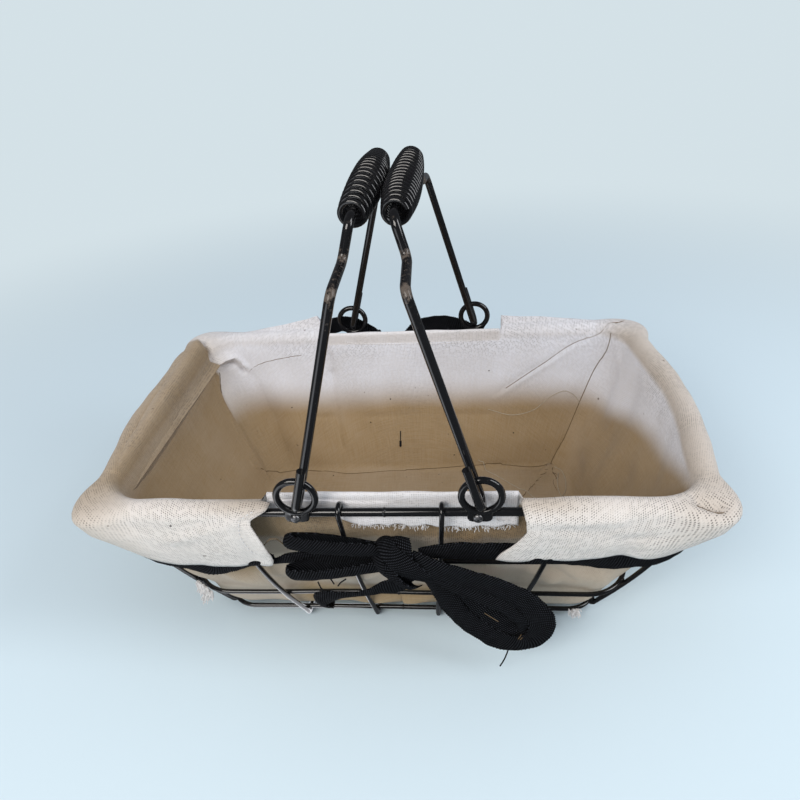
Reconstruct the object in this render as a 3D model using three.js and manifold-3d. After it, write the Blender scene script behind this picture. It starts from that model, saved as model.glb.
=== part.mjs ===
import * as THREE from 'three';
import { mergeVertices } from 'three/addons/utils/BufferGeometryUtils.js';
import Module from 'manifold-3d';

// Wire basket with a cloth liner and two swinging handles. Millimetres, +Z up,
// origin on the table under the middle of the basket, front towards -Y.

// Rods and wires
const RIM_ROD = 5;
const BAIL_ROD = 5;
const RIB_WIRE = 3;
const RING_WIRE = 4;
const GAP = 0.3;

// Mouth of the basket, on the centreline of the rim rod
const RIM_LENGTH = 340;
const RIM_WIDTH = 213;
const RIM_CORNER = 28;
const RIM_HEIGHT = 120;
const RIM_BUTT_X = -3;
const RIM_END_BOW = 10;

// Bottom of the basket, on the centreline of the base hoop
const BASE_LENGTH = 248;
const BASE_WIDTH = 149;
const BASE_CORNER = 20;

// The wall between them, which bellies out by this much halfway down, and its
// hoops, as shares of the way down from the rim
const WALL_BELLY = 5.5;
const HOOP_DROPS = { hoop_upper: 0.385, hoop_lower: 0.755 };

// Where the ribs cross the rim: distance from the middle of the side
const CENTRE_RIB_X = 28;
const OUTER_RIB_X = 93;
const LONG_RIB_Y = 36;
const HOOK_PAST_LEVEL = THREE.MathUtils.degToRad(16);
const CORNER_CURL_PAST_BOTTOM = THREE.MathUtils.degToRad(75);
const CROSS_RIB_FOLD = 6;

// Handle rings, each riveted by its flattened foot to the front of the rim rod
const RING_X = 49.2;
const RING_OUTER = 25;
const RING_RISE = 14;
const FOOT_WIDTH = 14;
const FOOT_DROP = 2.9;
const FOOT_THICK = 2;
const FOOT_SIDE_SHIFT = 2;
const RIVET_SHANK = 2.2;
const RIVET_HEAD = 5.4;
const RIVET_HEAD_RISE = 1.8;
const RIVET_TAIL = 4.4;
const RIVET_TAIL_THICK = 1.1;

// Handle bails, measured in the plane of the bail from the swing axis
const BAIL_REACH = 146.5;
const GRIP_ROD_LENGTH = 142;
const GRIP_BEND = 7;
const SHOULDER_REACH = 122.5;
const SHOULDER_CLIMB = 3.5;
const SHOULDER_BEND = 6;
const UPPER_LEG_SPLAY = 2;
const HOOK_PLAY = 0.8;
const HOOK_RETURN = 28;

// Grip coils, wound as barrels and hung loosely on the grip rods
const COIL_WIRE = 2.8;
const COIL_TURNS = 18;
const COIL_LENGTH = 126;
const COIL_END_OUTER = 14.6;
const COIL_MIDDLE_OUTER = 21;
const COIL_STEPS_PER_TURN = 8;
const COIL_BUNCHING = 0.09;

// Cloth liner: bag inside the wires, cuffs turned down over both ends of the rim
const CLOTH = 1.5;
const OPENING_HALF_X = 69;
const HEM_RISE = 7;
const HEM_THICK = 3;
const HEM_SHOULDER = 9;
const CUFF_DROP = 32;
const CUFF_CORNER_REACH = 15;
const CUFF_BELLY = 2;
const CUFF_GATHER = 1.1;
const CUFF_GATHERS = 13;
const BAG_EASE = 0.7;
const BAG_SAG = 2.2;
const BAG_TURNS_IN = 12;
const FLOOR_PANEL_OUT = 0.6;

// Tape that draws the cuffs in, tied in a bow at the front and at the back
const TAPE_HEIGHT = 12;
const TAPE_THICK = 1.2;
const TAPE_END = 2;
const KNOT_X = 3;
const KNOT_HEIGHT = 88;
const KNOT_SIZE = [20, 11, 17];
const LOOP_THICK = 1.8;
const LOOP_WIDTH = 9;
const SHORT_LOOPS = [[-56, 103], [-57, 76]];
const SHORT_LOOP_OPEN = 2.2;
const SHORT_LOOP_DEPTH = 8;
const LONG_LOOP = [[40, 77], [72, 62], [83.5, 38], [79, 22], [66, 16.5], [50, 26], [30, 52]];
const WIDE_LOOP_WIDTH = 10;
const TAIL = [[-18, 70], [-40, 57]];

// The rear bow's loops stand up behind the hem, clear of the handle hooks:
// [x, height, out] from the knot round to the knot, seen from the back
const REAR_LOOPS = [
  [[16, 98, 118], [30, 109, 119.4], [40, 119, 119.4], [52, 125.5, 119.4], [66, 126, 119.4],
    [75, 119, 119], [74, 110, 117.5], [60, 103, 116], [34, 97, 115.5]],
  [[5, 101, 118], [4, 113, 119.4], [-2, 121, 119.4], [-12, 125, 119.4], [-28, 124.5, 119.4],
    [-42, 119, 119], [-50, 110.5, 117.5], [-44, 103, 116], [-26, 99, 115.5]],
];
const REAR_TAILS = [TAIL, [[18, 68], [27, 46]]];

// Values that follow from the sizes above
const RIM_RADIUS = RIM_ROD / 2;
const BAIL_RADIUS = BAIL_ROD / 2;
const WIRE_RADIUS = RIB_WIRE / 2;
const ROD_SIDES = 8;
const FLAT_SHARE = Math.cos(Math.PI / ROD_SIDES);
const FLOOR_LEVEL = WIRE_RADIUS * FLAT_SHARE;
const LONG_RIB_LEVEL = FLOOR_LEVEL + RIB_WIRE + GAP;
const BASE_HEIGHT = LONG_RIB_LEVEL + RIB_WIRE + GAP;
const RIM_SEAT = RIM_RADIUS + WIRE_RADIUS + GAP;
const HOOP_SEAT = RIB_WIRE + GAP;
const HOOK_TOP = RIM_SEAT + WIRE_RADIUS;
const WALL_DROP = RIM_HEIGHT - BASE_HEIGHT;
const END_RIB_SHARE = LONG_RIB_Y / (RIM_WIDTH / 2 - RIM_CORNER);

const RING_LINE_RADIUS = (RING_OUTER - RING_WIRE) / 2;
const RING_HEIGHT = RIM_HEIGHT + RING_RISE;
const RING_PLANE = RIM_WIDTH / 2 + RIM_RADIUS + GAP + FOOT_THICK / 2;
const PIVOT_HEIGHT = RING_HEIGHT - RING_LINE_RADIUS + RING_WIRE / 2 + GAP + BAIL_RADIUS;
const HOOK_RADIUS = RING_WIRE / 2 + BAIL_RADIUS + HOOK_PLAY;
const COIL_SLACK = (COIL_END_OUTER - COIL_WIRE) / 2 * Math.cos(Math.PI / COIL_STEPS_PER_TURN)
  - COIL_WIRE / 2 - BAIL_RADIUS;
const COIL_HANG = COIL_SLACK - GAP;
const LEAN = Math.asin((RING_X - COIL_MIDDLE_OUTER / 2 - GAP / 2) / (BAIL_REACH - COIL_HANG));

const CUFF_ROLL_STEPS = 5;
const CUFF_INNER = (HOOK_TOP + GAP) / Math.cos(Math.PI / CUFF_ROLL_STEPS / 2);
const CUFF_OUTER = CUFF_INNER + CLOTH;

// Points along each end of the basket, as shares of its straight half, the
// same for rods and cloth. The ribs of the end cross at two of them.
const END_SHARES = [(1 + END_RIB_SHARE) / 2, END_RIB_SHARE, 0, -END_RIB_SHARE, -(1 + END_RIB_SHARE) / 2];

const wasm = await Module();
wasm.setup();

const enamel = new THREE.MeshStandardMaterial({ color: 0x0b0b0c, roughness: 0.22, metalness: 0.35 });
const steel = new THREE.MeshStandardMaterial({ color: 0x2a2b2e, roughness: 0.18, metalness: 0.8 });
const linen = new THREE.MeshStandardMaterial({ color: 0xd9cdb8, roughness: 0.92, metalness: 0 });
const tape = new THREE.MeshStandardMaterial({ color: 0x0d0d0f, roughness: 0.85, metalness: 0 });

const basket = new THREE.Group();

function addMesh(name, geometry, material, parent = basket) {
  const mesh = new THREE.Mesh(geometry, material);
  mesh.name = name;
  parent.add(mesh);
  return mesh;
}

// A rod's centreline whose steps fall on the given vertices, so that bends
// have as many facets as they need and straight runs have none.
class RodPath extends THREE.Curve {
  constructor(points) {
    super();
    this.points = points;
  }

  getPoint(t, target = new THREE.Vector3()) {
    const last = this.points.length - 1;
    const i = Math.min(Math.floor(t * last + 1e-9), last - 1);
    return target.lerpVectors(this.points[i], this.points[i + 1], t * last - i);
  }

  getPointAt(u, target) {
    return this.getPoint(u, target);
  }

  getTangentAt(u, target = new THREE.Vector3()) {
    const last = this.points.length - 1;
    const i = Math.round(u * last);
    const before = this.points[Math.max(i - 1, 0)];
    const here = this.points[i];
    const after = this.points[Math.min(i + 1, last)];
    const into = here.clone().sub(before).normalize();
    const out = after.clone().sub(here).normalize();
    return target.copy(into).add(out).normalize();
  }
}

function rodSection(radius) {
  const corners = [];
  for (let i = 0; i < ROD_SIDES; i += 1) {
    const angle = (i + 0.5) * 2 * Math.PI / ROD_SIDES;
    corners.push(new THREE.Vector2(radius * Math.cos(angle), radius * Math.sin(angle)));
  }
  return new THREE.Shape(corners);
}

function rod(points, radius) {
  const steps = points.length - 1;
  return new THREE.ExtrudeGeometry(rodSection(radius), { extrudePath: new RodPath(points), steps });
}

// Points of an arc in a plane, as [across, up] pairs
function arc(centre, radius, from, to, steps) {
  const points = [];
  for (let i = 0; i <= steps; i += 1) {
    const angle = THREE.MathUtils.lerp(from, to, i / steps);
    points.push([centre[0] + radius * Math.cos(angle), centre[1] + radius * Math.sin(angle)]);
  }
  return points;
}

// The bend of the given radius between two straight runs that meet at corner
function bend(before, corner, after, radius, steps) {
  const a = new THREE.Vector2(...before);
  const c = new THREE.Vector2(...corner);
  const b = new THREE.Vector2(...after);
  const toA = a.clone().sub(c).normalize();
  const toB = b.clone().sub(c).normalize();
  const half = Math.acos(THREE.MathUtils.clamp(toA.dot(toB), -1, 1)) / 2;
  const centre = c.clone().add(toA.clone().add(toB).setLength(radius / Math.sin(half)));
  const start = c.clone().add(toA.multiplyScalar(radius / Math.tan(half))).sub(centre);
  const end = c.clone().add(toB.multiplyScalar(radius / Math.tan(half))).sub(centre);
  const from = start.angle();
  let turn = end.angle() - from;
  if (turn > Math.PI) turn -= 2 * Math.PI;
  if (turn < -Math.PI) turn += 2 * Math.PI;
  return arc([centre.x, centre.y], radius, from, from + turn, steps);
}

// The wall in an upright plane: how far out it stands at a share of the way
// down from the rim, and how far it leans from upright there
function wallOut(rimOut, baseOut, drop) {
  return THREE.MathUtils.lerp(rimOut, baseOut, drop) + WALL_BELLY * Math.sin(Math.PI * drop);
}

function wallLean(rimOut, baseOut, drop) {
  return Math.atan((rimOut - baseOut - WALL_BELLY * Math.PI * Math.cos(Math.PI * drop)) / WALL_DROP);
}

function dropAt(height) {
  return THREE.MathUtils.clamp((RIM_HEIGHT - height) / WALL_DROP, 0, 1);
}

// Both ends of the basket bow outwards, most in their middle and at the rim
function bowEnds(point) {
  const drop = dropAt(point.z);
  const halfWidth = wallOut(RIM_WIDTH / 2, BASE_WIDTH / 2, drop);
  const share = Math.min(Math.abs(point.y) / halfWidth, 1);
  const bow = RIM_END_BOW * (1 - drop) * Math.cos(Math.PI / 2 * share) ** 2;
  return point.setX(point.x + Math.sign(point.x) * bow);
}

// Rounded rectangle about the origin with bowed ends, from a point on its
// front side round by the right, the back and the left
function roundedRectangle(length, width, corner, startX, endX, height, cornerSteps) {
  const points = [new THREE.Vector3(startX, -width / 2, height)];
  const centres = [[1, -1], [1, 1], [-1, 1], [-1, -1]];
  centres.forEach(([sx, sy], quarter) => {
    const centre = [sx * (length / 2 - corner), sy * (width / 2 - corner)];
    const from = -Math.PI / 2 + quarter * Math.PI / 2;
    for (const [x, y] of arc(centre, corner, from, from + Math.PI / 2, cornerSteps)) {
      points.push(new THREE.Vector3(x, y, height));
    }
    if (quarter % 2 === 0) {
      for (const share of END_SHARES) {
        points.push(new THREE.Vector3(sx * length / 2, sy * share * (width / 2 - corner), height));
      }
    }
  });
  points.push(new THREE.Vector3(endX, -width / 2, height));
  return points.map(bowEnds);
}

function toSolid(geometry) {
  const bare = geometry.clone();
  bare.deleteAttribute('normal');
  bare.deleteAttribute('uv');
  const merged = mergeVertices(bare, 1e-4);
  return new wasm.Manifold(new wasm.Mesh({
    numProp: 3,
    vertProperties: new Float32Array(merged.attributes.position.array),
    triVerts: new Uint32Array(merged.index.array),
  }));
}

function fromSolid(solid) {
  const mesh = solid.getMesh();
  const geometry = new THREE.BufferGeometry();
  geometry.setAttribute('position', new THREE.BufferAttribute(mesh.vertProperties, 3));
  geometry.setIndex(new THREE.BufferAttribute(mesh.triVerts, 1));
  geometry.computeVertexNormals();
  return geometry;
}

// A closed skin through cross sections that all have the same number of
// points. Sections run one way round; the ends are closed by triangles.
function loft(sections, closed = false) {
  const across = sections[0].length;
  const positions = sections.flat().flatMap((point) => [point.x, point.y, point.z]);
  const index = [];
  const spans = closed ? sections.length : sections.length - 1;
  for (let s = 0; s < spans; s += 1) {
    const next = (s + 1) % sections.length;
    for (let i = 0; i < across; i += 1) {
      const j = (i + 1) % across;
      const [a, b, c, d] = [s * across + i, s * across + j, next * across + j, next * across + i];
      index.push(a, b, c, a, c, d);
    }
  }
  if (!closed) {
    const last = (sections.length - 1) * across;
    for (let i = 0; i < across / 2 - 1; i += 1) {
      const k = across - 1 - i;
      index.push(i, k, k - 1, i, k - 1, i + 1);
      index.push(last + i, last + k - 1, last + k, last + i, last + i + 1, last + k - 1);
    }
  }
  const geometry = new THREE.BufferGeometry();
  geometry.setAttribute('position', new THREE.Float32BufferAttribute(positions, 3));
  geometry.setIndex(index);
  return faceOutwards(geometry);
}

function faceOutwards(geometry) {
  const position = geometry.attributes.position;
  const index = geometry.index.array;
  const corner = [new THREE.Vector3(), new THREE.Vector3(), new THREE.Vector3()];
  let volume = 0;
  for (let i = 0; i < index.length; i += 3) {
    corner.forEach((point, k) => point.fromBufferAttribute(position, index[i + k]));
    volume += corner[0].dot(corner[1].clone().cross(corner[2]));
  }
  if (volume < 0) {
    for (let i = 0; i < index.length; i += 3) {
      [index[i], index[i + 1]] = [index[i + 1], index[i]];
    }
  }
  geometry.computeVertexNormals();
  return geometry;
}

// Rim rod: one length of rod, bent round and butted at the front, with a
// cross hole for each ring's rivet
function rivetX(side, front) {
  return side * RING_X - (front ? 1 : -1) * FOOT_SIDE_SHIFT;
}

function rimRod() {
  const line = roundedRectangle(RIM_LENGTH, RIM_WIDTH, RIM_CORNER,
    RIM_BUTT_X + GAP / 2, RIM_BUTT_X - GAP / 2, RIM_HEIGHT, 6);
  let solid = toSolid(rod(line, RIM_RADIUS));
  const hole = new THREE.CylinderGeometry(RIVET_SHANK / 2 + GAP, RIVET_SHANK / 2 + GAP, 3 * RIM_ROD, 8);
  for (const front of [true, false]) {
    for (const side of [-1, 1]) {
      const y = (front ? -1 : 1) * RIM_WIDTH / 2;
      const cut = hole.clone().translate(rivetX(side, front), y, RIM_HEIGHT);
      solid = solid.subtract(toSolid(cut));
    }
  }
  return fromSolid(solid);
}

addMesh('rim_rod', rimRod(), enamel);

// Ribs stand off the wall's line by this much at a share of the way down
function ribSeat(drop) {
  return THREE.MathUtils.lerp(RIM_SEAT, HOOP_SEAT, drop);
}

// Hoops: smaller rounded rectangles of wire inside the ribs
function hoop(drop) {
  const outset = ribSeat(drop) - HOOP_SEAT;
  const length = 2 * (wallOut(RIM_LENGTH / 2, BASE_LENGTH / 2, drop) + outset);
  const width = 2 * (wallOut(RIM_WIDTH / 2, BASE_WIDTH / 2, drop) + outset);
  const corner = wallOut(RIM_CORNER, BASE_CORNER, drop) + outset;
  const height = THREE.MathUtils.lerp(RIM_HEIGHT, BASE_HEIGHT, drop);
  return rod(roundedRectangle(length, width, corner,
    RIM_BUTT_X + GAP / 2, RIM_BUTT_X - GAP / 2, height, 5), WIRE_RADIUS);
}

for (const [name, drop] of Object.entries({ ...HOOP_DROPS, base_hoop: 1 })) {
  addMesh(name, hoop(drop), enamel);
}

// Ribs. In the upright plane of a rib, [out, up] pairs run from the cut end of
// the hook over the rim down the outside of the wall, past both hoops.
const RIB_DROPS = [0.2, HOOP_DROPS.hoop_upper, 0.57, HOOP_DROPS.hoop_lower, 0.88];

function ribWall(rimOut, baseOut) {
  const hook = arc([rimOut, RIM_HEIGHT], RIM_SEAT,
    Math.PI + HOOK_PAST_LEVEL, -wallLean(rimOut, baseOut, 0), 7);
  const wall = RIB_DROPS.map((drop) => [
    wallOut(rimOut, baseOut, drop) + ribSeat(drop) / Math.cos(wallLean(rimOut, baseOut, drop)),
    THREE.MathUtils.lerp(RIM_HEIGHT, BASE_HEIGHT, drop),
  ]);
  return [...hook, ...wall];
}

// Half of a rib that runs on across the floor, up to the middle of the floor.
// Long ribs bend round the base hoop, cross ribs pass it and fold at the floor.
function floorRibHalf(rimOut, baseOut, floorLevel) {
  const wall = ribWall(rimOut, baseOut);
  const lean = wallLean(rimOut, baseOut, 1);
  if (floorLevel > FLOOR_LEVEL) {
    return [...wall, ...arc([baseOut, BASE_HEIGHT], HOOP_SEAT, -lean, -Math.PI / 2, 4)];
  }
  const pass = [baseOut + HOOP_SEAT * Math.cos(lean), BASE_HEIGHT - HOOP_SEAT * Math.sin(lean)];
  const corner = [pass[0] - (pass[1] - floorLevel) * Math.tan(lean), floorLevel];
  return [...wall, pass, ...bend(pass, corner, [0, floorLevel], CROSS_RIB_FOLD, 4)];
}

// The rib's distance from the middle of the side shrinks with the wall
function fan(rimSide, baseSide, up) {
  return THREE.MathUtils.lerp(rimSide, baseSide, dropAt(up));
}

function floorRib(rimOut, baseOut, floorLevel, rimSide, baseSide, place) {
  const half = floorRibHalf(rimOut, baseOut, floorLevel);
  const near = half.map(([out, up]) => place(-out, fan(rimSide, baseSide, up), up));
  const far = half.map(([out, up]) => place(out, fan(rimSide, baseSide, up), up));
  return rod([...near, ...far.reverse()].map(bowEnds), WIRE_RADIUS);
}

// Lays the underside of a rib's floor run flat on the table. It is left within
// this much of it by the slight twist that the fanned walls give the section.
const FLOOR_TWIST = 0.1;

function settle(geometry) {
  const position = geometry.attributes.position;
  for (let i = 0; i < position.count; i += 1) {
    if (position.getZ(i) < FLOOR_TWIST) position.setZ(i, 0);
  }
  return geometry;
}

const CROSS_RIBS = {
  cross_rib_outer_left: -OUTER_RIB_X,
  cross_rib_centre_left: -CENTRE_RIB_X,
  cross_rib_centre_right: CENTRE_RIB_X,
  cross_rib_outer_right: OUTER_RIB_X,
};
for (const [name, x] of Object.entries(CROSS_RIBS)) {
  const place = (out, side, up) => new THREE.Vector3(side, out, up);
  addMesh(name, settle(floorRib(RIM_WIDTH / 2, BASE_WIDTH / 2, FLOOR_LEVEL,
    x, x * BASE_LENGTH / RIM_LENGTH, place)), enamel);
}

for (const [name, y] of Object.entries({ long_rib_front: -LONG_RIB_Y, long_rib_rear: LONG_RIB_Y })) {
  const place = (out, side, up) => new THREE.Vector3(out, side, up);
  addMesh(name, floorRib(RIM_LENGTH / 2, BASE_LENGTH / 2, LONG_RIB_LEVEL,
    y, Math.sign(y) * END_RIB_SHARE * (BASE_WIDTH / 2 - BASE_CORNER), place), enamel);
}

// Corner ribs: hooked over the rim and curled under the base hoop, in the
// upright plane through the two corner centres
const rimCorner = [RIM_LENGTH / 2 - RIM_CORNER, RIM_WIDTH / 2 - RIM_CORNER];
const baseCorner = [BASE_LENGTH / 2 - BASE_CORNER, BASE_WIDTH / 2 - BASE_CORNER];
const cornerRun = Math.hypot(rimCorner[0] - baseCorner[0], rimCorner[1] - baseCorner[1]);
const cornerDirection = rimCorner.map((value, axis) => (value - baseCorner[axis]) / cornerRun);

function cornerRib(sx, sy) {
  const rimOut = cornerRun + RIM_CORNER;
  const baseOut = BASE_CORNER;
  const curl = arc([baseOut, BASE_HEIGHT], HOOP_SEAT, -wallLean(rimOut, baseOut, 1),
    -Math.PI / 2 - CORNER_CURL_PAST_BOTTOM, 6);
  const line = [...ribWall(rimOut, baseOut), ...curl].map(([out, up]) => new THREE.Vector3(
    sx * (baseCorner[0] + cornerDirection[0] * out),
    sy * (baseCorner[1] + cornerDirection[1] * out),
    up,
  ));
  return rod(line.map(bowEnds), WIRE_RADIUS);
}

addMesh('corner_rib_front_left', cornerRib(-1, -1), enamel);
addMesh('corner_rib_front_right', cornerRib(1, -1), enamel);
addMesh('corner_rib_rear_left', cornerRib(-1, 1), enamel);
addMesh('corner_rib_rear_right', cornerRib(1, 1), enamel);

// Handle rings: an eye of wire with its foot pressed flat against the rim rod,
// and pressed away round the rivet's head
function handleRing() {
  const eye = new THREE.TorusGeometry(RING_LINE_RADIUS, RING_WIRE / 2, 8, 20).rotateX(Math.PI / 2);
  eye.translate(0, 0, RING_RISE);
  const halfFoot = FOOT_WIDTH / 2;
  const eyeBottom = RING_RISE - RING_LINE_RADIUS;
  const outline = new THREE.Shape();
  outline.moveTo(-halfFoot + 2, -FOOT_DROP);
  outline.lineTo(halfFoot - 2, -FOOT_DROP);
  outline.quadraticCurveTo(halfFoot, -FOOT_DROP, halfFoot, 0);
  outline.quadraticCurveTo(halfFoot - 1, eyeBottom - 1, halfFoot + 1, eyeBottom + 1.6);
  outline.lineTo(0, eyeBottom - 0.4);
  outline.lineTo(-halfFoot - 1, eyeBottom + 1.6);
  outline.quadraticCurveTo(-halfFoot + 1, eyeBottom - 1, -halfFoot, 0);
  outline.quadraticCurveTo(-halfFoot, -FOOT_DROP, -halfFoot + 2, -FOOT_DROP);
  const plate = new THREE.ExtrudeGeometry(outline, {
    depth: FOOT_THICK, bevelEnabled: false, curveSegments: 3,
  });
  plate.rotateX(Math.PI / 2).translate(-FOOT_SIDE_SHIFT / 2, FOOT_THICK / 2, 0);
  const hole = new THREE.CylinderGeometry(RIVET_SHANK / 2 + GAP, RIVET_SHANK / 2 + GAP, 2 * RIM_ROD, 8);
  hole.translate(-FOOT_SIDE_SHIFT, 0, 0);
  const seat = new THREE.CylinderGeometry(RIVET_HEAD / 2 + GAP, RIVET_HEAD / 2 + GAP, RING_WIRE, 12);
  seat.translate(-FOOT_SIDE_SHIFT, -(FOOT_THICK + RING_WIRE) / 2, 0);
  return fromSolid(toSolid(eye).add(toSolid(plate)).subtract(toSolid(hole)).subtract(toSolid(seat)));
}

// Rivet: domed head on the foot, shank through foot and rim, pressed tail.
// It is turned about its axis, which points out of the basket.
function rivet() {
  const rimFace = -RIM_RADIUS - GAP;
  const headFace = RIM_RADIUS + GAP + FOOT_THICK + GAP;
  const profile = [
    new THREE.Vector2(0, rimFace - RIVET_TAIL_THICK),
    new THREE.Vector2(RIVET_TAIL / 2, rimFace - RIVET_TAIL_THICK),
    new THREE.Vector2(RIVET_TAIL / 2, rimFace),
    new THREE.Vector2(RIVET_SHANK / 2, rimFace),
    new THREE.Vector2(RIVET_SHANK / 2, headFace),
  ];
  for (let i = 0; i <= 3; i += 1) {
    const angle = i / 3 * Math.PI / 2;
    profile.push(new THREE.Vector2(
      RIVET_HEAD / 2 * Math.cos(angle), headFace + RIVET_HEAD_RISE * Math.sin(angle)));
  }
  profile[profile.length - 1].x = 0;
  return new THREE.LatheGeometry(profile, 12);
}

for (const [end, front] of [['front', true], ['rear', false]]) {
  for (const [hand, side] of [['left', -1], ['right', 1]]) {
    const ring = addMesh(`ring_${end}_${hand}`, handleRing(), enamel);
    ring.position.set(side * RING_X, (front ? -1 : 1) * RING_PLANE, RIM_HEIGHT);
    ring.rotation.z = front ? 0 : Math.PI;
    const pin = addMesh(`ring_rivet_${end}_${hand}`, rivet(), steel);
    pin.position.set(rivetX(side, front), (front ? -1 : 1) * RIM_WIDTH / 2, RIM_HEIGHT);
    pin.rotation.z = front ? Math.PI : 0;
  }
}

// Handle bails. [along the grip, reach] pairs of one leg, from the cut end of
// the hook, round the U that hangs in the ring, up the leg and to the grip.
function bailLeg() {
  const inner = -RING_PLANE + HOOK_RADIUS;
  const outer = -RING_PLANE - HOOK_RADIUS;
  const gripEnd = -GRIP_ROD_LENGTH / 2;
  const shoulderFoot = [inner, SHOULDER_REACH];
  const shoulderHead = [gripEnd - UPPER_LEG_SPLAY, SHOULDER_REACH + SHOULDER_CLIMB];
  const gripCorner = [gripEnd, BAIL_REACH];
  return [
    [outer, HOOK_RETURN],
    ...arc([-RING_PLANE, HOOK_RADIUS], HOOK_RADIUS, -Math.PI, 0, 8),
    ...bend([inner, HOOK_RADIUS], shoulderFoot, shoulderHead, SHOULDER_BEND, 4),
    ...bend(shoulderFoot, shoulderHead, gripCorner, SHOULDER_BEND, 4),
    ...bend(shoulderHead, gripCorner, [0, BAIL_REACH], GRIP_BEND, 4),
  ];
}

function bailRod() {
  const leg = bailLeg();
  const near = leg.map(([along, reach]) => new THREE.Vector3(0, along, reach));
  const far = leg.map(([along, reach]) => new THREE.Vector3(0, -along, reach)).reverse();
  return rod([...near, ...far], BAIL_RADIUS);
}

// Grip coil: one unbroken wire, narrow at both ends and full in the middle.
// Its turns are bunched towards one end, where they have slid along the rod.
function coilLine(bunching) {
  const points = [];
  const count = COIL_TURNS * COIL_STEPS_PER_TURN;
  const run = COIL_LENGTH - COIL_WIRE;
  const endRadius = (COIL_END_OUTER - COIL_WIRE) / 2;
  const middleRadius = (COIL_MIDDLE_OUTER - COIL_WIRE) / 2;
  for (let i = 0; i <= count; i += 1) {
    const share = i / count;
    const along = share + bunching * Math.sin(Math.PI * share) ** 2;
    const radius = endRadius + (middleRadius - endRadius) * Math.sin(Math.PI * share) ** 0.8;
    const angle = share * COIL_TURNS * 2 * Math.PI;
    points.push(new THREE.Vector3(radius * Math.cos(angle), (along - 0.5) * run, radius * Math.sin(angle)));
  }
  return points;
}

function coilWire(line) {
  const sides = 5;
  const sections = line.map((point, i) => {
    const before = line[Math.max(i - 1, 0)];
    const after = line[Math.min(i + 1, line.length - 1)];
    const along = after.clone().sub(before).normalize();
    const outward = new THREE.Vector3(point.x, 0, point.z);
    outward.addScaledVector(along, -outward.dot(along)).normalize();
    const across = along.clone().cross(outward);
    const section = [];
    for (let k = 0; k < sides; k += 1) {
      const angle = k * 2 * Math.PI / sides;
      section.push(point.clone()
        .addScaledVector(outward, COIL_WIRE / 2 * Math.cos(angle))
        .addScaledVector(across, COIL_WIRE / 2 * Math.sin(angle)));
    }
    return section;
  });
  return wireSkin(sections);
}

// Skin of a wire with round sections, its ends closed by fans
function wireSkin(sections) {
  const sides = sections[0].length;
  const positions = sections.flat().flatMap((point) => [point.x, point.y, point.z]);
  const index = [];
  for (let s = 0; s + 1 < sections.length; s += 1) {
    for (let k = 0; k < sides; k += 1) {
      const next = (k + 1) % sides;
      const [a, b] = [s * sides + k, s * sides + next];
      index.push(a, b, b + sides, a, b + sides, a + sides);
    }
  }
  const last = (sections.length - 1) * sides;
  for (let k = 1; k + 1 < sides; k += 1) {
    index.push(0, k + 1, k);
    index.push(last, last + k, last + k + 1);
  }
  const geometry = new THREE.BufferGeometry();
  geometry.setAttribute('position', new THREE.Float32BufferAttribute(positions, 3));
  geometry.setIndex(index);
  return faceOutwards(geometry);
}

// Least gap between turns, measured on points more than half a turn apart
function leastTurnGap(line) {
  let least = Infinity;
  for (let i = 0; i < line.length; i += 1) {
    for (let j = i + Math.ceil(COIL_STEPS_PER_TURN / 2); j < line.length; j += 1) {
      least = Math.min(least, line[i].distanceTo(line[j]) - COIL_WIRE);
    }
  }
  return least;
}

for (const [hand, side, bunching] of [['left', -1, COIL_BUNCHING], ['right', 1, -COIL_BUNCHING]]) {
  const handle = new THREE.Group();
  handle.position.set(side * RING_X, 0, PIVOT_HEIGHT);
  handle.rotation.y = -side * LEAN;
  basket.add(handle);
  addMesh(`bail_${hand}`, bailRod(), enamel, handle);
  const line = coilLine(bunching);
  const coil = addMesh(`grip_coil_${hand}`, coilWire(line), enamel, handle);
  coil.position.set(0, 0, BAIL_REACH - COIL_HANG);
  console.log(`grip_coil_${hand}: least gap between turns ${leastTurnGap(line).toFixed(2)} mm`);
}

// Stations round the wall: the point on the rim centreline and the outward
// direction, with the same numbers for every layer of cloth. The side is
// measured from the middle of the front, and corner is 1 halfway round a bend.
const CORNER_STEPS = 4;

function longSideShares() {
  const straightHalf = RIM_LENGTH / 2 - RIM_CORNER;
  const edge = (OPENING_HALF_X - GAP) / straightHalf;
  const shoulder = (OPENING_HALF_X - GAP - HEM_SHOULDER) / straightHalf;
  const half = [(1 + edge) / 2, edge, shoulder, shoulder / 2];
  return [...half, 0, ...half.map((share) => -share).reverse()];
}

function stations() {
  const list = [];
  const quarters = [[1, -1], [1, 1], [-1, 1], [-1, -1]];
  quarters.forEach(([sx, sy], quarter) => {
    const from = -Math.PI / 2 + quarter * Math.PI / 2;
    for (let i = 0; i <= CORNER_STEPS; i += 1) {
      const angle = from + i / CORNER_STEPS * Math.PI / 2;
      list.push({
        sx, sy, outX: Math.cos(angle), outY: Math.sin(angle), alongX: 1, alongY: 1,
        corner: Math.sin(Math.PI * i / CORNER_STEPS),
      });
    }
    const isEnd = quarter % 2 === 0;
    const outX = Math.round(Math.cos(from + Math.PI / 2));
    const outY = Math.round(Math.sin(from + Math.PI / 2));
    for (const share of isEnd ? END_SHARES : longSideShares()) {
      list.push({ sx, sy, outX, outY, alongX: isEnd ? 1 : share, alongY: isEnd ? share : 1, corner: 0 });
    }
  });
  return list;
}

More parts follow.
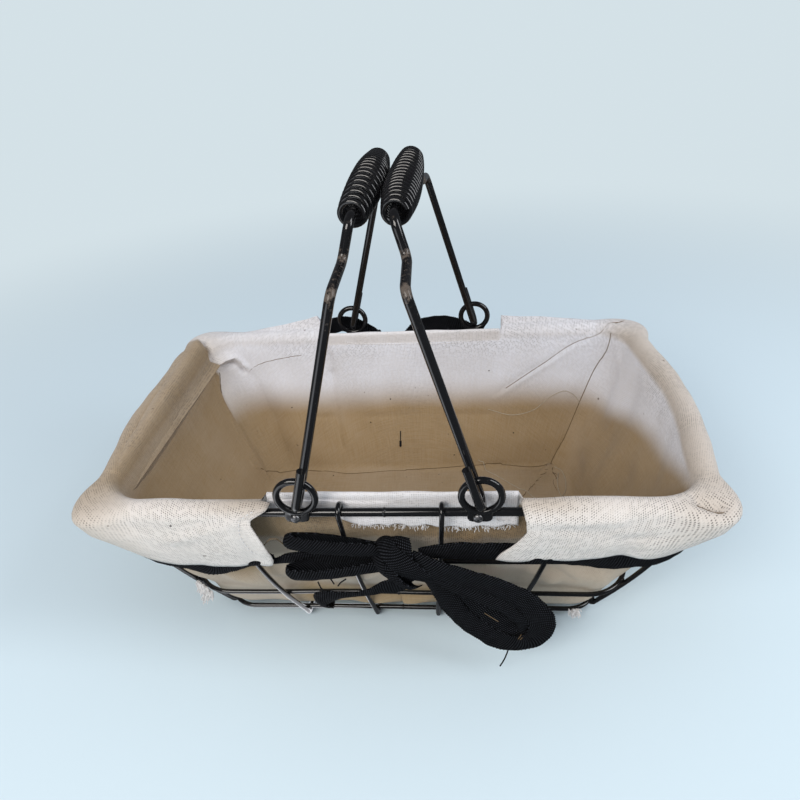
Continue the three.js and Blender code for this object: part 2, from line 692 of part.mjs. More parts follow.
// A point of the cloth: the station's point on the wall at the given height,
// moved outwards. The wall's own outline shrinks towards the base.
function clothPoint(station, height, outset) {
  const drop = dropAt(height);
  const length = wallOut(RIM_LENGTH / 2, BASE_LENGTH / 2, drop);
  const width = wallOut(RIM_WIDTH / 2, BASE_WIDTH / 2, drop);
  const radius = wallOut(RIM_CORNER, BASE_CORNER, drop);
  return bowEnds(new THREE.Vector3(
    station.sx * (length - radius) * station.alongX + (radius + outset) * station.outX,
    station.sy * (width - radius) * station.alongY + (radius + outset) * station.outY,
    height,
  ));
}

// How far outside the wall's own line the ribs' outer face lies, measured
// level. Round a bend the cloth's chords have to clear the face too.
function ribFace(station, height) {
  const drop = dropAt(height);
  const cornerShrink = RIM_CORNER - BASE_CORNER;
  const run = cornerShrink + Math.abs(station.outX) * ((RIM_LENGTH - BASE_LENGTH) / 2 - cornerShrink)
    + Math.abs(station.outY) * ((RIM_WIDTH - BASE_WIDTH) / 2 - cornerShrink);
  const face = (ribSeat(drop) + WIRE_RADIUS) / Math.cos(wallLean(run, 0, drop));
  const radius = wallOut(RIM_CORNER, BASE_CORNER, drop) + face;
  const onBend = station.alongX === 1 && station.alongY === 1;
  return onBend ? face + radius * (1 / Math.cos(Math.PI / 4 / CORNER_STEPS) - 1) : face;
}

// Liner bag: the cloth's walls. They hang from the rim to the floor panel that
// is sewn to their lower edge, bellied in a little between the wires. Their
// hem stands up between the cuffs, behind the handle rings.
const FLOOR_PANEL_UNDER = BASE_HEIGHT + WIRE_RADIUS + GAP;
const BAG_FOOT = FLOOR_PANEL_UNDER + CLOTH + GAP;

function bagLevels() {
  const byWires = -WIRE_RADIUS - GAP - BAG_EASE;
  const byHooks = -CUFF_INNER;
  return [
    { height: BAG_FOOT, out: byWires },
    { height: THREE.MathUtils.lerp(BAG_FOOT, RIM_HEIGHT, 0.33), out: byWires, sag: 0.7 },
    { height: THREE.MathUtils.lerp(BAG_FOOT, RIM_HEIGHT, 0.66), out: byWires, sag: 1 },
    { height: RIM_HEIGHT - BAG_TURNS_IN, out: byWires, sag: 0.4 },
    { height: RIM_HEIGHT - RIM_RADIUS, out: byHooks },
    { height: RIM_HEIGHT - GAP, out: byHooks },
  ];
}

function hemShare(point) {
  const start = OPENING_HALF_X - GAP;
  return 1 - THREE.MathUtils.smoothstep(Math.abs(point.x), start - HEM_SHOULDER, start);
}

function linerBag() {
  const levels = bagLevels();
  const sections = stations().map((station, s) => {
    const fold = BAG_SAG * (0.5 + 0.5 * Math.cos(1.7 * s)) * (1 - station.corner);
    const face = (depth) => levels.map(({ height, out, sag = 0 }) => clothPoint(station,
      height, out - fold * sag - depth));
    const outer = face(0);
    const inner = face(CLOTH);
    const isLongSide = Math.abs(station.outY) > 0.99;
    const rise = isLongSide ? hemShare(outer[outer.length - 1]) * HEM_RISE : 0;
    outer[outer.length - 1].z += rise;
    inner[inner.length - 1].z += rise;
    if (rise > 0) {
      const thicken = (HEM_THICK - CLOTH) * rise / HEM_RISE;
      inner[inner.length - 1].y -= Math.sign(station.outY) * thicken;
    }
    return [...outer, ...inner.reverse()];
  });
  return loft(sections, true);
}

// Floor panel of the liner: flat on the base hoop, under the walls' lower edge
function linerFloor() {
  const outline = stations().map((station) => clothPoint(station, BASE_HEIGHT, FLOOR_PANEL_OUT));
  const shape = new THREE.Shape(outline.map((point) => new THREE.Vector2(point.x, point.y)));
  const panel = new THREE.ExtrudeGeometry(shape, { depth: CLOTH, bevelEnabled: false });
  return panel.translate(0, 0, FLOOR_PANEL_UNDER);
}

addMesh('liner_floor', linerFloor(), linen);
addMesh('liner_bag', linerBag(), linen);

// Liner cuffs: each starts behind the rim, rolls over it and hangs outside one
// end and its two corners. The corners are pulled out past the rod, and the
// lower edge is drawn in against the ribs.
const CUFF_LEVELS = [
  { share: 0.3, clear: CUFF_BELLY, reach: 0.75, gather: 0.5 },
  { share: 0.62, clear: CUFF_BELLY, reach: 0.35, gather: 1 },
  { share: 1, clear: 2 * GAP, reach: 0, gather: 1 },
];

function cuffProfile(station, gather) {
  const reach = CUFF_CORNER_REACH * station.corner ** 2;
  const skirt = CUFF_LEVELS.map((level) => {
    const height = RIM_HEIGHT - level.share * CUFF_DROP;
    const clear = level.clear + level.reach * reach + level.gather * gather * CUFF_GATHER;
    return { out: ribFace(station, height) + clear + CLOTH, height, inward: [-1, 0] };
  });
  const roll = [];
  for (let i = 0; i <= CUFF_ROLL_STEPS; i += 1) {
    const angle = Math.PI * (1 - i / CUFF_ROLL_STEPS);
    const pulled = reach * Math.max(Math.cos(angle), 0) ** 0.6;
    roll.push({
      out: pulled + CUFF_OUTER * Math.cos(angle),
      height: RIM_HEIGHT + CUFF_OUTER * Math.sin(angle),
      inward: [-Math.cos(angle), -Math.sin(angle)],
    });
  }
  return [...roll, ...skirt];
}

function cuffSection(station, gather) {
  const profile = cuffProfile(station, gather);
  const wall = (out, height, fixed) => clothPoint(station, fixed ? RIM_HEIGHT : height, out).setZ(height);
  const outer = profile.map(({ out, height }, i) => wall(out, height, i <= CUFF_ROLL_STEPS));
  const inner = profile.map(({ out, height, inward }, i) => wall(out + inward[0] * CLOTH,
    height + inward[1] * CLOTH, i <= CUFF_ROLL_STEPS));
  return [...outer, ...inner.reverse()];
}

function longSideStation(sx, sy, alongX) {
  return { sx, sy, outX: 0, outY: sy, alongX, alongY: 1, corner: 0 };
}

// Stations of one end between the two opening edges, in order round the wall
function cuffStations(side) {
  const straightHalf = RIM_LENGTH / 2 - RIM_CORNER;
  const edge = OPENING_HALF_X / straightHalf;
  const list = stations().filter((s) => s.sx === side || s.alongX < 1);
  const own = [];
  const frontRun = [edge, (edge + 1) / 2];
  for (const share of frontRun) {
    own.push(longSideStation(side, -1, share));
  }
  const round = list.filter((s) => s.sx === side && s.alongX === 1 && s.outX * side >= -1e-9);
  const ordered = round.sort((a, b) => stationTurn(a, side) - stationTurn(b, side));
  own.push(...ordered);
  for (const share of [...frontRun].reverse()) {
    own.push(longSideStation(side, 1, share));
  }
  return own;
}

function stationTurn(station, side) {
  const point = clothPoint(station, RIM_HEIGHT, 0);
  return Math.atan2(point.y, point.x * side);
}

function linerCuff(side) {
  const run = cuffStations(side);
  const sections = run.map((station, s) => {
    const gather = 0.5 - 0.5 * Math.cos(2 * Math.PI * CUFF_GATHERS * s / run.length);
    return cuffSection(station, gather);
  });
  return loft(sections);
}

addMesh('liner_cuff_left', linerCuff(-1), linen);
addMesh('liner_cuff_right', linerCuff(1), linen);

// Tapes: each runs outside the ribs under the hem of one cuff, from behind the
// front knot to behind the rear knot
function tapeSection(station) {
  const top = RIM_HEIGHT - CUFF_DROP - GAP;
  const low = top - TAPE_HEIGHT;
  const edge = (height, outset) => clothPoint(station, height, ribFace(station, height) + outset);
  return [
    edge(top, 2 * GAP + TAPE_THICK),
    edge(low, 2 * GAP + TAPE_THICK),
    edge(low, 2 * GAP),
    edge(top, 2 * GAP),
  ];
}

function tapeRun(side, knotEdgeFront, knotEdgeRear) {
  const straightHalf = RIM_LENGTH / 2 - RIM_CORNER;
  const front = longSideStation(side, -1, knotEdgeFront / straightHalf);
  const rear = longSideStation(side, 1, knotEdgeRear / straightHalf);
  const run = [front, ...cuffStations(side), rear];
  return loft(run.map(tapeSection));
}

addMesh('ribbon_left', tapeRun(-1, TAPE_END - KNOT_X, TAPE_END + KNOT_X), tape);
addMesh('ribbon_right', tapeRun(1, TAPE_END + KNOT_X, TAPE_END - KNOT_X), tape);

// Y of a thing of the given depth that lies in front of tape and ribs
function inFront(height, depth) {
  const station = longSideStation(1, -1, 0);
  const seat = ribFace(station, height) + TAPE_THICK + 3 * GAP;
  return clothPoint(station, height, seat + depth / 2).y;
}

const KNOT_Y = inFront(KNOT_HEIGHT, KNOT_SIZE[1]);

// Bows: at the front a flattened knot with two short loops and a tail to the
// left and one long loop to the right, at the rear two loops and two tails
function knot() {
  const ball = new THREE.SphereGeometry(0.5, 10, 7).scale(...KNOT_SIZE);
  return ball.translate(KNOT_X, KNOT_Y, KNOT_HEIGHT);
}

// A short loop of tape: a flat band that leaves the knot to the left, turns
// at its far end and comes back behind itself. Far is [x, height].
function shortLoop(far) {
  const start = new THREE.Vector3(KNOT_X, KNOT_Y, KNOT_HEIGHT);
  const end = new THREE.Vector3(far[0], inFront(far[1] + LOOP_WIDTH / 2, SHORT_LOOP_DEPTH), far[1]);
  const along = end.clone().sub(start);
  const reach = along.length();
  along.normalize();
  const facing = new THREE.Vector3(0, -1, 0);
  facing.addScaledVector(along, -facing.dot(along)).normalize();
  const broad = along.clone().cross(facing).normalize();
  const count = 14;
  const sections = [];
  for (let i = 0; i < count; i += 1) {
    const angle = i / count * 2 * Math.PI;
    const swell = Math.sin(angle) * (1.1 - 0.6 * Math.cos(angle));
    const middle = start.clone()
      .addScaledVector(along, reach * (0.5 - 0.5 * Math.cos(angle)))
      .addScaledVector(facing, SHORT_LOOP_OPEN * swell);
    const outward = along.clone().multiplyScalar(-Math.cos(angle))
      .addScaledVector(facing, Math.sin(angle)).normalize();
    sections.push(tapeCorners(middle, outward, LOOP_THICK, broad, LOOP_WIDTH));
  }
  return loft(sections, true);
}

// The four corners of a tape across its line
function tapeCorners(middle, thin, thickness, broad, width) {
  return [[-1, 1], [1, 1], [1, -1], [-1, -1]].map(([u, v]) => middle.clone()
    .addScaledVector(thin, u * thickness / 2)
    .addScaledVector(broad, v * width / 2));
}

// A length of tape with its broad side to the front, through the given points
function strip(points, width, count) {
  const path = new THREE.CatmullRomCurve3(points);
  const sections = [];
  for (let i = 0; i <= count; i += 1) {
    const middle = path.getPointAt(i / count);
    const along = path.getTangentAt(i / count);
    const facing = new THREE.Vector3(0, -1, 0);
    facing.addScaledVector(along, -facing.dot(along)).normalize();
    const across = along.clone().cross(facing);
    sections.push(tapeCorners(middle, facing, LOOP_THICK, across, width));
  }
  return loft(sections);
}

function atKnot(forward) {
  return new THREE.Vector3(KNOT_X, KNOT_Y - forward, KNOT_HEIGHT);
}

// A loop with its broad side to the front: out of the front of the knot,
// through the points and back behind itself
function wideLoop(points) {
  return strip([atKnot(LOOP_THICK), ...points, atKnot(-LOOP_THICK)], WIDE_LOOP_WIDTH, 24);
}

// The long loop falls to the table
function longLoop() {
  const last = LONG_LOOP.length - 1;
  return wideLoop(LONG_LOOP.map(([x, height], i) => {
    const forward = THREE.MathUtils.lerp(LOOP_THICK, -LOOP_THICK, i / last);
    return new THREE.Vector3(x, KNOT_Y - forward, height);
  }));
}

function standingLoop(line) {
  return wideLoop(line.map(([x, height, out]) => new THREE.Vector3(x, -out, height)));
}

function tail(line) {
  const points = line.map(([x, height]) => new THREE.Vector3(x, inFront(height, KNOT_SIZE[1]), height));
  return strip([atKnot(0), ...points], LOOP_WIDTH, 6);
}

function bow(parts) {
  return fromSolid(parts.reduce((whole, each) => whole.add(toSolid(each)), toSolid(knot())));
}

addMesh('bow_front', bow([longLoop(), tail(TAIL), ...SHORT_LOOPS.map(shortLoop)]), tape);
const bowRear = addMesh('bow_rear', bow([...REAR_LOOPS.map(standingLoop), ...REAR_TAILS.map(tail)]), tape);
bowRear.rotation.z = Math.PI;

export default basket;
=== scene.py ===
import math
import random

import bpy
import numpy as np
from mathutils import Matrix, Vector
from mathutils.bvhtree import BVHTree


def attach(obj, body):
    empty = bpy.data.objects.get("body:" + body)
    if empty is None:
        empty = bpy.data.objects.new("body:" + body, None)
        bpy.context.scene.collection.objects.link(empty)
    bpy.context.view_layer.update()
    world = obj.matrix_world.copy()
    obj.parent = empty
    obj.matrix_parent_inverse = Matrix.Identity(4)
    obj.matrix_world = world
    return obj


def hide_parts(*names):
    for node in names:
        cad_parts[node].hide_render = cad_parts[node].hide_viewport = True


MM = 0.001

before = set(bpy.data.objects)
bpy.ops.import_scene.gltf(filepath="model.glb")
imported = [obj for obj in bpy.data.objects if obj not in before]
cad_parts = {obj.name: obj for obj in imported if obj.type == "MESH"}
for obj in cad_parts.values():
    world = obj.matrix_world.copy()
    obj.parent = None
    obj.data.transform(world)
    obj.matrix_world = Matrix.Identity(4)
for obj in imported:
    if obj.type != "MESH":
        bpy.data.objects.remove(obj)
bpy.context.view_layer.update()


def put(name, data):
    """A new object in the scene."""
    thing = bpy.data.objects.new(name, data)
    bpy.context.scene.collection.objects.link(thing)
    return thing


def mesh_of(name, points, faces=(), edges=()):
    mesh = bpy.data.meshes.new(name)
    mesh.from_pydata([tuple(p) for p in points], edges, faces)
    return mesh


def quads(rows, count, wrap=False, turned_in=False):
    """Faces between rows of points, each row a closed loop of count points."""
    faces = []
    for row in range(rows if wrap else rows - 1):
        for k in range(count):
            a, b = row * count + k, row * count + (k + 1) % count
            c, d = ((row + 1) % rows * count + p % count for p in (b, a))
            faces.append((a, d, c, b) if turned_in else (a, b, c, d))
    return faces


# Camera. It looks down into the basket from the front, a little to the right
# of the middle, and is held slightly askew.
YAW, PITCH, TWIST = -0.122, 0.5529, -0.085
CAMERA_PLACE, LENS = (0.04357, -0.37523, 0.35819), 29.7
forward = Vector((math.sin(YAW) * math.cos(PITCH), math.cos(YAW) * math.cos(PITCH), -math.sin(PITCH)))
level = Vector((math.cos(YAW), -math.sin(YAW), 0))
above = level.cross(forward)
right = math.cos(TWIST) * level + math.sin(TWIST) * above
up = -math.sin(TWIST) * level + math.cos(TWIST) * above
camera = put("camera", bpy.data.cameras.new("camera"))
camera.data.lens = LENS
camera.data.sensor_width = 36
camera.matrix_world = (Matrix.Translation(CAMERA_PLACE)
                       @ Matrix((right, up, -forward)).transposed().to_4x4())
bpy.context.scene.camera = camera
bpy.context.scene.view_settings.view_transform = "Standard"


# Studio. A pale floor of painted board, a broad lamp to the front left and a
# weaker one to the right. Far off, the floor runs into the pale backdrop. In
# reflections shiny things see a darker sky, and on the floor a painted dark room
# with a painted bright band to the front left, which gives the wires painted
# highlights.
class Reading:
    """A socket of a node tree. Sums written with it add the tree's Math nodes."""

    def __init__(self, nodes, socket):
        self.nodes = nodes
        self.socket = socket

    def maths(self, operation, *values):
        return self.nodes.node("ShaderNodeMath", dict(enumerate(values)), operation=operation)

    def __add__(self, other):
        return self.maths("ADD", self, other)

    def __radd__(self, other):
        return self.maths("ADD", other, self)

    def __sub__(self, other):
        return self.maths("SUBTRACT", self, other)

    def __rsub__(self, other):
        return self.maths("SUBTRACT", other, self)

    def __mul__(self, other):
        return self.maths("MULTIPLY", self, other)

    def __rmul__(self, other):
        return self.maths("MULTIPLY", other, self)

    def __truediv__(self, other):
        return self.maths("DIVIDE", self, other)

    def __pow__(self, other):
        return self.maths("POWER", self, other)

    def lowest(self, other):
        return self.maths("MINIMUM", self, other)

    def highest(self, other):
        return self.maths("MAXIMUM", self, other)

    def sine(self):
        return self.maths("SINE", self)

    def size(self):
        return self.maths("ABSOLUTE", self)

    def above(self, low, high):
        """0 below low, 1 over high, and smooth between them."""
        return self.nodes.node("ShaderNodeMapRange", {0: self, 1: low, 2: high, 3: 0.0, 4: 1.0},
                               interpolation_type="SMOOTHSTEP")


class NodeSheet:
    """A node tree, to which one method adds a node of any type."""

    def __init__(self, tree):
        self.tree = tree

    def node(self, kind, sockets=None, output=0, **settings):
        node = self.tree.nodes.new(kind)
        for setting, value in settings.items():
            setattr(node, setting, value)
        for socket, value in (sockets or {}).items():
            self.feed(node.inputs[socket], value)
        return Reading(self, node.outputs[output])

    def feed(self, socket, value):
        if isinstance(value, Reading):
            self.tree.links.new(value.socket, socket)
        else:
            socket.default_value = value

    def vector(self, operation, first, second=None):
        """Vector arithmetic. The second value of SCALE is its factor."""
        sockets = {0: first} if second is None else {0: first, "Scale" if operation == "SCALE" else 1: second}
        return self.node("ShaderNodeVectorMath", sockets, "Value" if operation in ("LENGTH", "DOT_PRODUCT") else 0,
                         operation=operation)

    def centred(self, colour, reach):
        """The colour of a noise as an offset that goes both ways."""
        return self.vector("SCALE", self.vector("SUBTRACT", colour, (0.5, 0.5, 0.5)), reach)

    def blend(self, share, first, second):
        return self.node("ShaderNodeMix", {0: share, 6: first, 7: second}, output=2, data_type="RGBA")

    def glow(self, colour):
        return self.node("ShaderNodeEmission", {"Color": colour, "Strength": 1.0})


class Finish(NodeSheet):
    """A material round one Principled shader."""

    def __init__(self, name, **constants):
        self.material = bpy.data.materials.new(name)
        self.material.use_nodes = True
        super().__init__(self.material.node_tree)
        self.shader = self.tree.nodes["Principled BSDF"]
        self.set(**constants)

    def set(self, **values):
        for name, value in values.items():
            self.feed(self.shader.inputs[name.replace("_", " ")], value)

    def coordinates(self):
        return self.node("ShaderNodeTexCoord", output="Object")

    def noise(self, place, scale, detail=2.0, roughness=0.5, output=0):
        return self.node("ShaderNodeTexNoise", {"Vector": place, "Scale": scale, "Detail": detail,
                                                "Roughness": roughness}, output)

    def bump(self, height, strength, distance):
        self.set(Normal=self.node("ShaderNodeBump", {"Height": height, "Strength": strength,
                                                     "Distance": distance}))


FLOOR_HALF, FLOOR_Z = 40, -0.0004
FAR_COLOUR, BOARD_COLOUR = (0.66, 0.755, 0.80, 1), (0.62, 0.74, 0.805, 1)
PAINTED_ROOM_COLOUR, PAINTED_WINDOW_COLOUR = (0.105, 0.115, 0.125, 1), (1.7, 1.75, 1.85, 1)
SKY_COLOUR, DARK_SKY_COLOUR = (0.50, 0.52, 0.56, 1), (0.09, 0.095, 0.105, 1)
floor = put("floor", mesh_of("floor", [(x * FLOOR_HALF, y * FLOOR_HALF, FLOOR_Z) for x, y in (
    (-1, -1), (1, -1), (1, 1), (-1, 1))], [(0, 1, 2, 3)]))
board = Finish("painted_board", Base_Color=BOARD_COLOUR, Roughness=0.9, Specular_IOR_Level=0.1)
place = board.coordinates()
distance = board.vector("LENGTH", place)
seen = board.node("ShaderNodeLightPath", output="Is Camera Ray") * distance.above(0.35, 1.1)
painted = Reading(board, board.shader.outputs[0])
painted = board.node("ShaderNodeMixShader", {0: seen, 1: painted, 2: board.glow(FAR_COLOUR)})
# Painted reflection: seen by glossy rays, the floor glows as a painted dark room with a painted bright band to the
# front left.
painted_window_band = board.vector("DOT_PRODUCT", board.vector("NORMALIZE", place), (-0.64, -0.77, 0))
painted_reflection = board.glow(board.blend(painted_window_band.above(0.93, 0.99), PAINTED_ROOM_COLOUR, PAINTED_WINDOW_COLOUR))
mirrored = board.node("ShaderNodeLightPath", output="Is Glossy Ray")
painted = board.node("ShaderNodeMixShader", {0: mirrored, 1: painted, 2: painted_reflection})
board.feed(board.tree.nodes["Material Output"].inputs["Surface"], painted)
floor.data.materials.append(board.material)

world = bpy.data.worlds.new("studio")
bpy.context.scene.world = world
world.use_nodes = True
surround = NodeSheet(world.node_tree)
shown, mirrored = (surround.node("ShaderNodeLightPath", output=f"Is {kind} Ray") for kind in ("Camera", "Glossy"))
air = surround.blend(shown, surround.blend(mirrored, SKY_COLOUR, DARK_SKY_COLOUR), FAR_COLOUR)
surround.feed(world.node_tree.nodes["Background"].inputs["Color"], air)


def lamp(name, at, size, watts, colour):
    """An area lamp that points at the basket."""
    light = bpy.data.lights.new(name, "AREA")
    light.shape = "RECTANGLE"
    light.size, light.size_y = size
    light.energy = watts
    light.color = colour
    direction = Vector((0, 0, 0.08)) - Vector(at)
    put(name, light).matrix_world = (Matrix.Translation(at)
                                     @ direction.to_track_quat("-Z", "Y").to_matrix().to_4x4())


lamp("key_lamp", (-0.55, -1.15, 1.05), (0.9, 0.7), 16.5, (1, 0.96, 0.91))
lamp("fill_lamp", (1.2, -0.35, 0.9), (0.5, 1.0), 10.5, (0.95, 0.97, 1))

# Rim. One length of 5 mm steel rod, bent to a rounded rectangle with slightly
# bowed ends, butt-welded at the front and enamelled black with the wires.
RIM_LENGTH, RIM_WIDTH, RIM_CORNER, RIM_HEIGHT = 0.340, 0.213, 0.028, 0.120
BASE_LENGTH, BASE_WIDTH, BASE_CORNER, BASE_HEIGHT = 0.248, 0.149, 0.020, 0.007986
WALL_DROP = RIM_HEIGHT - BASE_HEIGHT
WALL_BELLY, END_BOW = 0.0055, 0.010
RIM_RADIUS, WIRE_RADIUS, GAP = 0.0025, 0.0015, 0.0003
BUTT_X = -0.003


def wall_out(rim_out, base_out, drop):
    """How far out the wall's line lies. The drop is 0 at the rim, 1 at the base."""
    return rim_out + (base_out - rim_out) * drop + WALL_BELLY * np.sin(np.pi * drop)


def wall_lean(rim_out, base_out, drop):
    """The angle between the wall there and the vertical."""
    return np.arctan((rim_out - base_out - WALL_BELLY * np.pi * np.cos(np.pi * drop)) / WALL_DROP)


def drop_at(height):
    return np.clip((RIM_HEIGHT - height) / WALL_DROP, 0, 1)


def bow_ends(points):
    """Both ends of the basket bow outwards, most in their middle and at the rim."""
    points = np.array(points, float)
    drop = drop_at(points[..., 2])
    share = np.minimum(np.abs(points[..., 1]) / wall_out(RIM_WIDTH / 2, BASE_WIDTH / 2, drop), 1)
    bow = END_BOW * (1 - drop) * np.cos(np.pi / 2 * share) ** 2
    points[..., 0] += np.sign(points[..., 0]) * bow
    return points


def outline_stations(length, width, corner, step):
    """Round a rounded rectangle from the middle of its front, against the clock
    seen from above: signs, shares along the straights and outward direction."""
    along, across = length / 2 - corner, width / 2 - corner
    rows = []
    straights = [((0, 1), along, -90), ((-1, 1), across, 0), ((1, -1), along, 90), ((-1, 1), across, 180),
                 ((-1, 0), along, -90)]
    quarters = [(1, -1), (1, 1), (-1, 1), (-1, -1)]
    for side, ((start, end), half, facing) in enumerate(straights):
        count = max(2, round(half * abs(end - start) / step))
        out = (math.cos(math.radians(facing)), math.sin(math.radians(facing)))
        for share in start + (end - start) * np.arange(count) / count:
            rows.append((share, out[1], *out) if side % 2 == 0 else (out[0], share, *out))
        if side < len(quarters):
            steps = max(4, round(corner * math.pi / 2 / step))
            for k in range(steps):
                angle = math.radians(facing + 90 * k / steps)
                rows.append((*quarters[side], math.cos(angle), math.sin(angle)))
    return np.array(rows)


def wall_points(stations, height, outset, shape_height=None):
    """Points on the wall at these stations. The outline narrows towards the base."""
    drop = drop_at(height if shape_height is None else shape_height)
    length = wall_out(RIM_LENGTH / 2, BASE_LENGTH / 2, drop)
    width = wall_out(RIM_WIDTH / 2, BASE_WIDTH / 2, drop)
    radius = wall_out(RIM_CORNER, BASE_CORNER, drop)
    x = (length - radius) * stations[:, 0] + (radius + outset) * stations[:, 2]
    y = (width - radius) * stations[:, 1] + (radius + outset) * stations[:, 3]
    level_z = RIM_HEIGHT - drop * WALL_DROP
    bowed = bow_ends(np.stack([x, y, np.broadcast_to(level_z, x.shape)], axis=1))
    bowed[:, 2] = height
    return bowed


def recipe(name, *inputs):
    """A Geometry Nodes tree, and what each of its (name, kind) inputs gives."""
    tree = bpy.data.node_groups.new(name, "GeometryNodeTree")
    for label, kind in inputs:
        tree.interface.new_socket(label, in_out="INPUT", socket_type=f"NodeSocket{kind}")
    tree.interface.new_socket("Result", in_out="OUTPUT", socket_type="NodeSocketGeometry")
    sheet = NodeSheet(tree)
    given = tree.nodes.new("NodeGroupInput")
    return sheet, [Reading(sheet, given.outputs[k]) for k in range(len(inputs))]


def finished(sheet, shape, finish):
    """End a tree with the shape as a plain mesh in one finish."""
    shape = sheet.node("GeometryNodeRealizeInstances", {"Geometry": shape})
    shape = sheet.node("GeometryNodeSetMaterial", {"Geometry": shape, "Material": finish})
    sheet.feed(sheet.tree.nodes.new("NodeGroupOutput").inputs[0], shape)
    return sheet.tree


END_ROUNDING = 0.0004


def wire_recipe():
    """A round wire on the edges of a mesh. Its ends are slightly rounded over,
    and it may wander a little, as bent wire does."""
    sheet, (line, radius, sides, wander, finish) = recipe(
        "round_wire", ("Line", "Geometry"), ("Radius", "Float"), ("Sides", "Int"), ("Wander", "Float"),
        ("Finish", "Material"))
    curve = sheet.node("GeometryNodeMeshToCurve", {"Mesh": line})
    where = sheet.node("GeometryNodeInputPosition")
    noise = sheet.node("ShaderNodeTexNoise", {"Vector": where, "Scale": 14.0, "Detail": 0.0}, output="Color")
    curve = sheet.node("GeometryNodeSetPosition", {"Geometry": curve, "Offset": sheet.centred(noise, wander * 2.0)})
    run = sheet.node("GeometryNodeSplineParameter", output="Length")
    whole = sheet.node("GeometryNodeSplineLength")
    to_end = run.lowest(whole - run) / END_ROUNDING
    inset = 1.0 - 0.22 * (1.0 - to_end.lowest(1.0)) ** 2.0
    curve = sheet.node("GeometryNodeSetCurveRadius", {"Curve": curve, "Radius": inset})
    ring = sheet.node("GeometryNodeCurvePrimitiveCircle", {"Resolution": sides, "Radius": radius})
    mesh = sheet.node("GeometryNodeCurveToMesh", {"Curve": curve, "Profile Curve": ring, "Fill Caps": True})
    return finished(sheet, mesh, finish)


ROUND_WIRE = wire_recipe()


def evaluated(holder):
    """The holder's mesh with its modifiers applied. The holder goes."""
    mesh = bpy.data.meshes.new_from_object(holder.evaluated_get(bpy.context.evaluated_depsgraph_get()))
    bpy.data.objects.remove(holder)
    return mesh


def from_recipe(name, source, tree, **inputs):
    """The plain mesh that a Geometry Nodes tree makes of a source mesh."""
    holder = put(f"{name}_source", source)
    modifier = holder.modifiers.new("recipe", "NODES")
    modifier.node_group = tree
    for item in tree.interface.items_tree:
        if item.in_out == "INPUT" and item.name in inputs:
            modifier[item.identifier] = inputs[item.name]
    bpy.context.view_layer.update()
    mesh = evaluated(holder)
    mesh.name = name
    return put(name, mesh)


def shade_by_angle(mesh, degrees=40):
    """Smooth shading, with edges sharper than this left crisp."""
    mesh.polygons.foreach_set("use_smooth", [True] * len(mesh.polygons))
    mesh.set_sharp_from_angle(angle=math.radians(degrees))


def wires(name, lines, radius, finish, sides=12, wander=0.0, closed=False):
    """Round wires on lines of points, as one piece."""
    points, edges = [], []
    for line in lines:
        first = len(points)
        points.extend(line)
        edges.extend((k, k + 1) for k in range(first, len(points) - 1))
        if closed:
            edges.append((len(points) - 1, first))
    piece = from_recipe(name, mesh_of(name, points, edges=edges), ROUND_WIRE, Radius=radius, Sides=sides,
                        Wander=wander, Finish=finish.material)
    shade_by_angle(piece.data)
    return piece


def belongs(piece, body, slot, *nodes):
    """The piece stands for these nodes of the frame and moves with their body."""
    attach(piece, body)
    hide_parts(*nodes)


def enamel_finish(name, worn=False):
    """Glossy black stove enamel. It is a little uneven over the steel, with dust
    in it, and where it is worn it shows brownish grey and matt."""
    finish = Finish(name, IOR=1.5, Specular_IOR_Level=0.15, Coat_Roughness=0.03, Coat_IOR=1.5)
    place = finish.coordinates()
    mottle = finish.noise(place, 55.0, 3.0)
    dust = finish.noise(place, 900.0, 2.0, 0.6).above(0.68, 0.82)
    colour = finish.blend(mottle, (0.003, 0.003, 0.0034, 1), (0.008, 0.008, 0.009, 1))
    colour = finish.blend(dust * 0.25, colour, (0.16, 0.155, 0.15, 1))
    roughness = 0.14 + mottle * 0.14 + dust * 0.3
    coat = 0.85 - dust * 0.6
    if worn:
        rubbed = finish.node("ShaderNodeAttribute", output="Fac", attribute_name="wear")
        edge = finish.noise(place, 420.0, 4.0, 0.7)
        bare = (rubbed + (edge - 0.5) * 0.9).above(0.42, 0.62)
        colour = finish.blend(bare, colour, (0.105, 0.085, 0.07, 1))
        roughness = roughness + bare * 0.35
        coat = coat - bare * 0.6
    finish.set(Base_Color=colour, Roughness=roughness, Coat_Weight=coat.highest(0.0))
    finish.bump(finish.noise(place, 160.0, 2.0) + finish.noise(place, 1400.0, 1.0) * 0.12, 0.2, 0.0003)
    return finish


ENAMEL = enamel_finish("black_enamel")
RIM_STATIONS = outline_stations(RIM_LENGTH, RIM_WIDTH, RIM_CORNER, 0.003)
rim = wires("rim", [wall_points(RIM_STATIONS, RIM_HEIGHT, 0.0)], RIM_RADIUS, ENAMEL, sides=20, closed=True)
belongs(rim, "basket", "enamelled_wire", "rim_rod")

# Hoops. Three smaller rounded rectangles of 3 mm wire, each butt-welded at the
# front, lie against the inside of the ribs and are spot-welded to them.
HOOP_DROPS = {"hoop_upper": 0.385, "hoop_lower": 0.755, "base_hoop": 1.0}
RIM_SEAT = RIM_RADIUS + WIRE_RADIUS + GAP
HOOP_SEAT = 2 * WIRE_RADIUS + GAP


def rib_seat(drop):
    return RIM_SEAT + (HOOP_SEAT - RIM_SEAT) * drop


def hoop_line(drop):
    outset = rib_seat(drop) - HOOP_SEAT
    return wall_points(RIM_STATIONS, RIM_HEIGHT - drop * WALL_DROP, outset)


for hoop_name, hoop_drop in HOOP_DROPS.items():
    hoop = wires(f"wire_{hoop_name}", [hoop_line(hoop_drop)], WIRE_RADIUS, ENAMEL,
                 wander=0.0011 if hoop_drop < 1 else 0.0005, closed=True)
    belongs(hoop, "basket", "enamelled_wire", hoop_name)

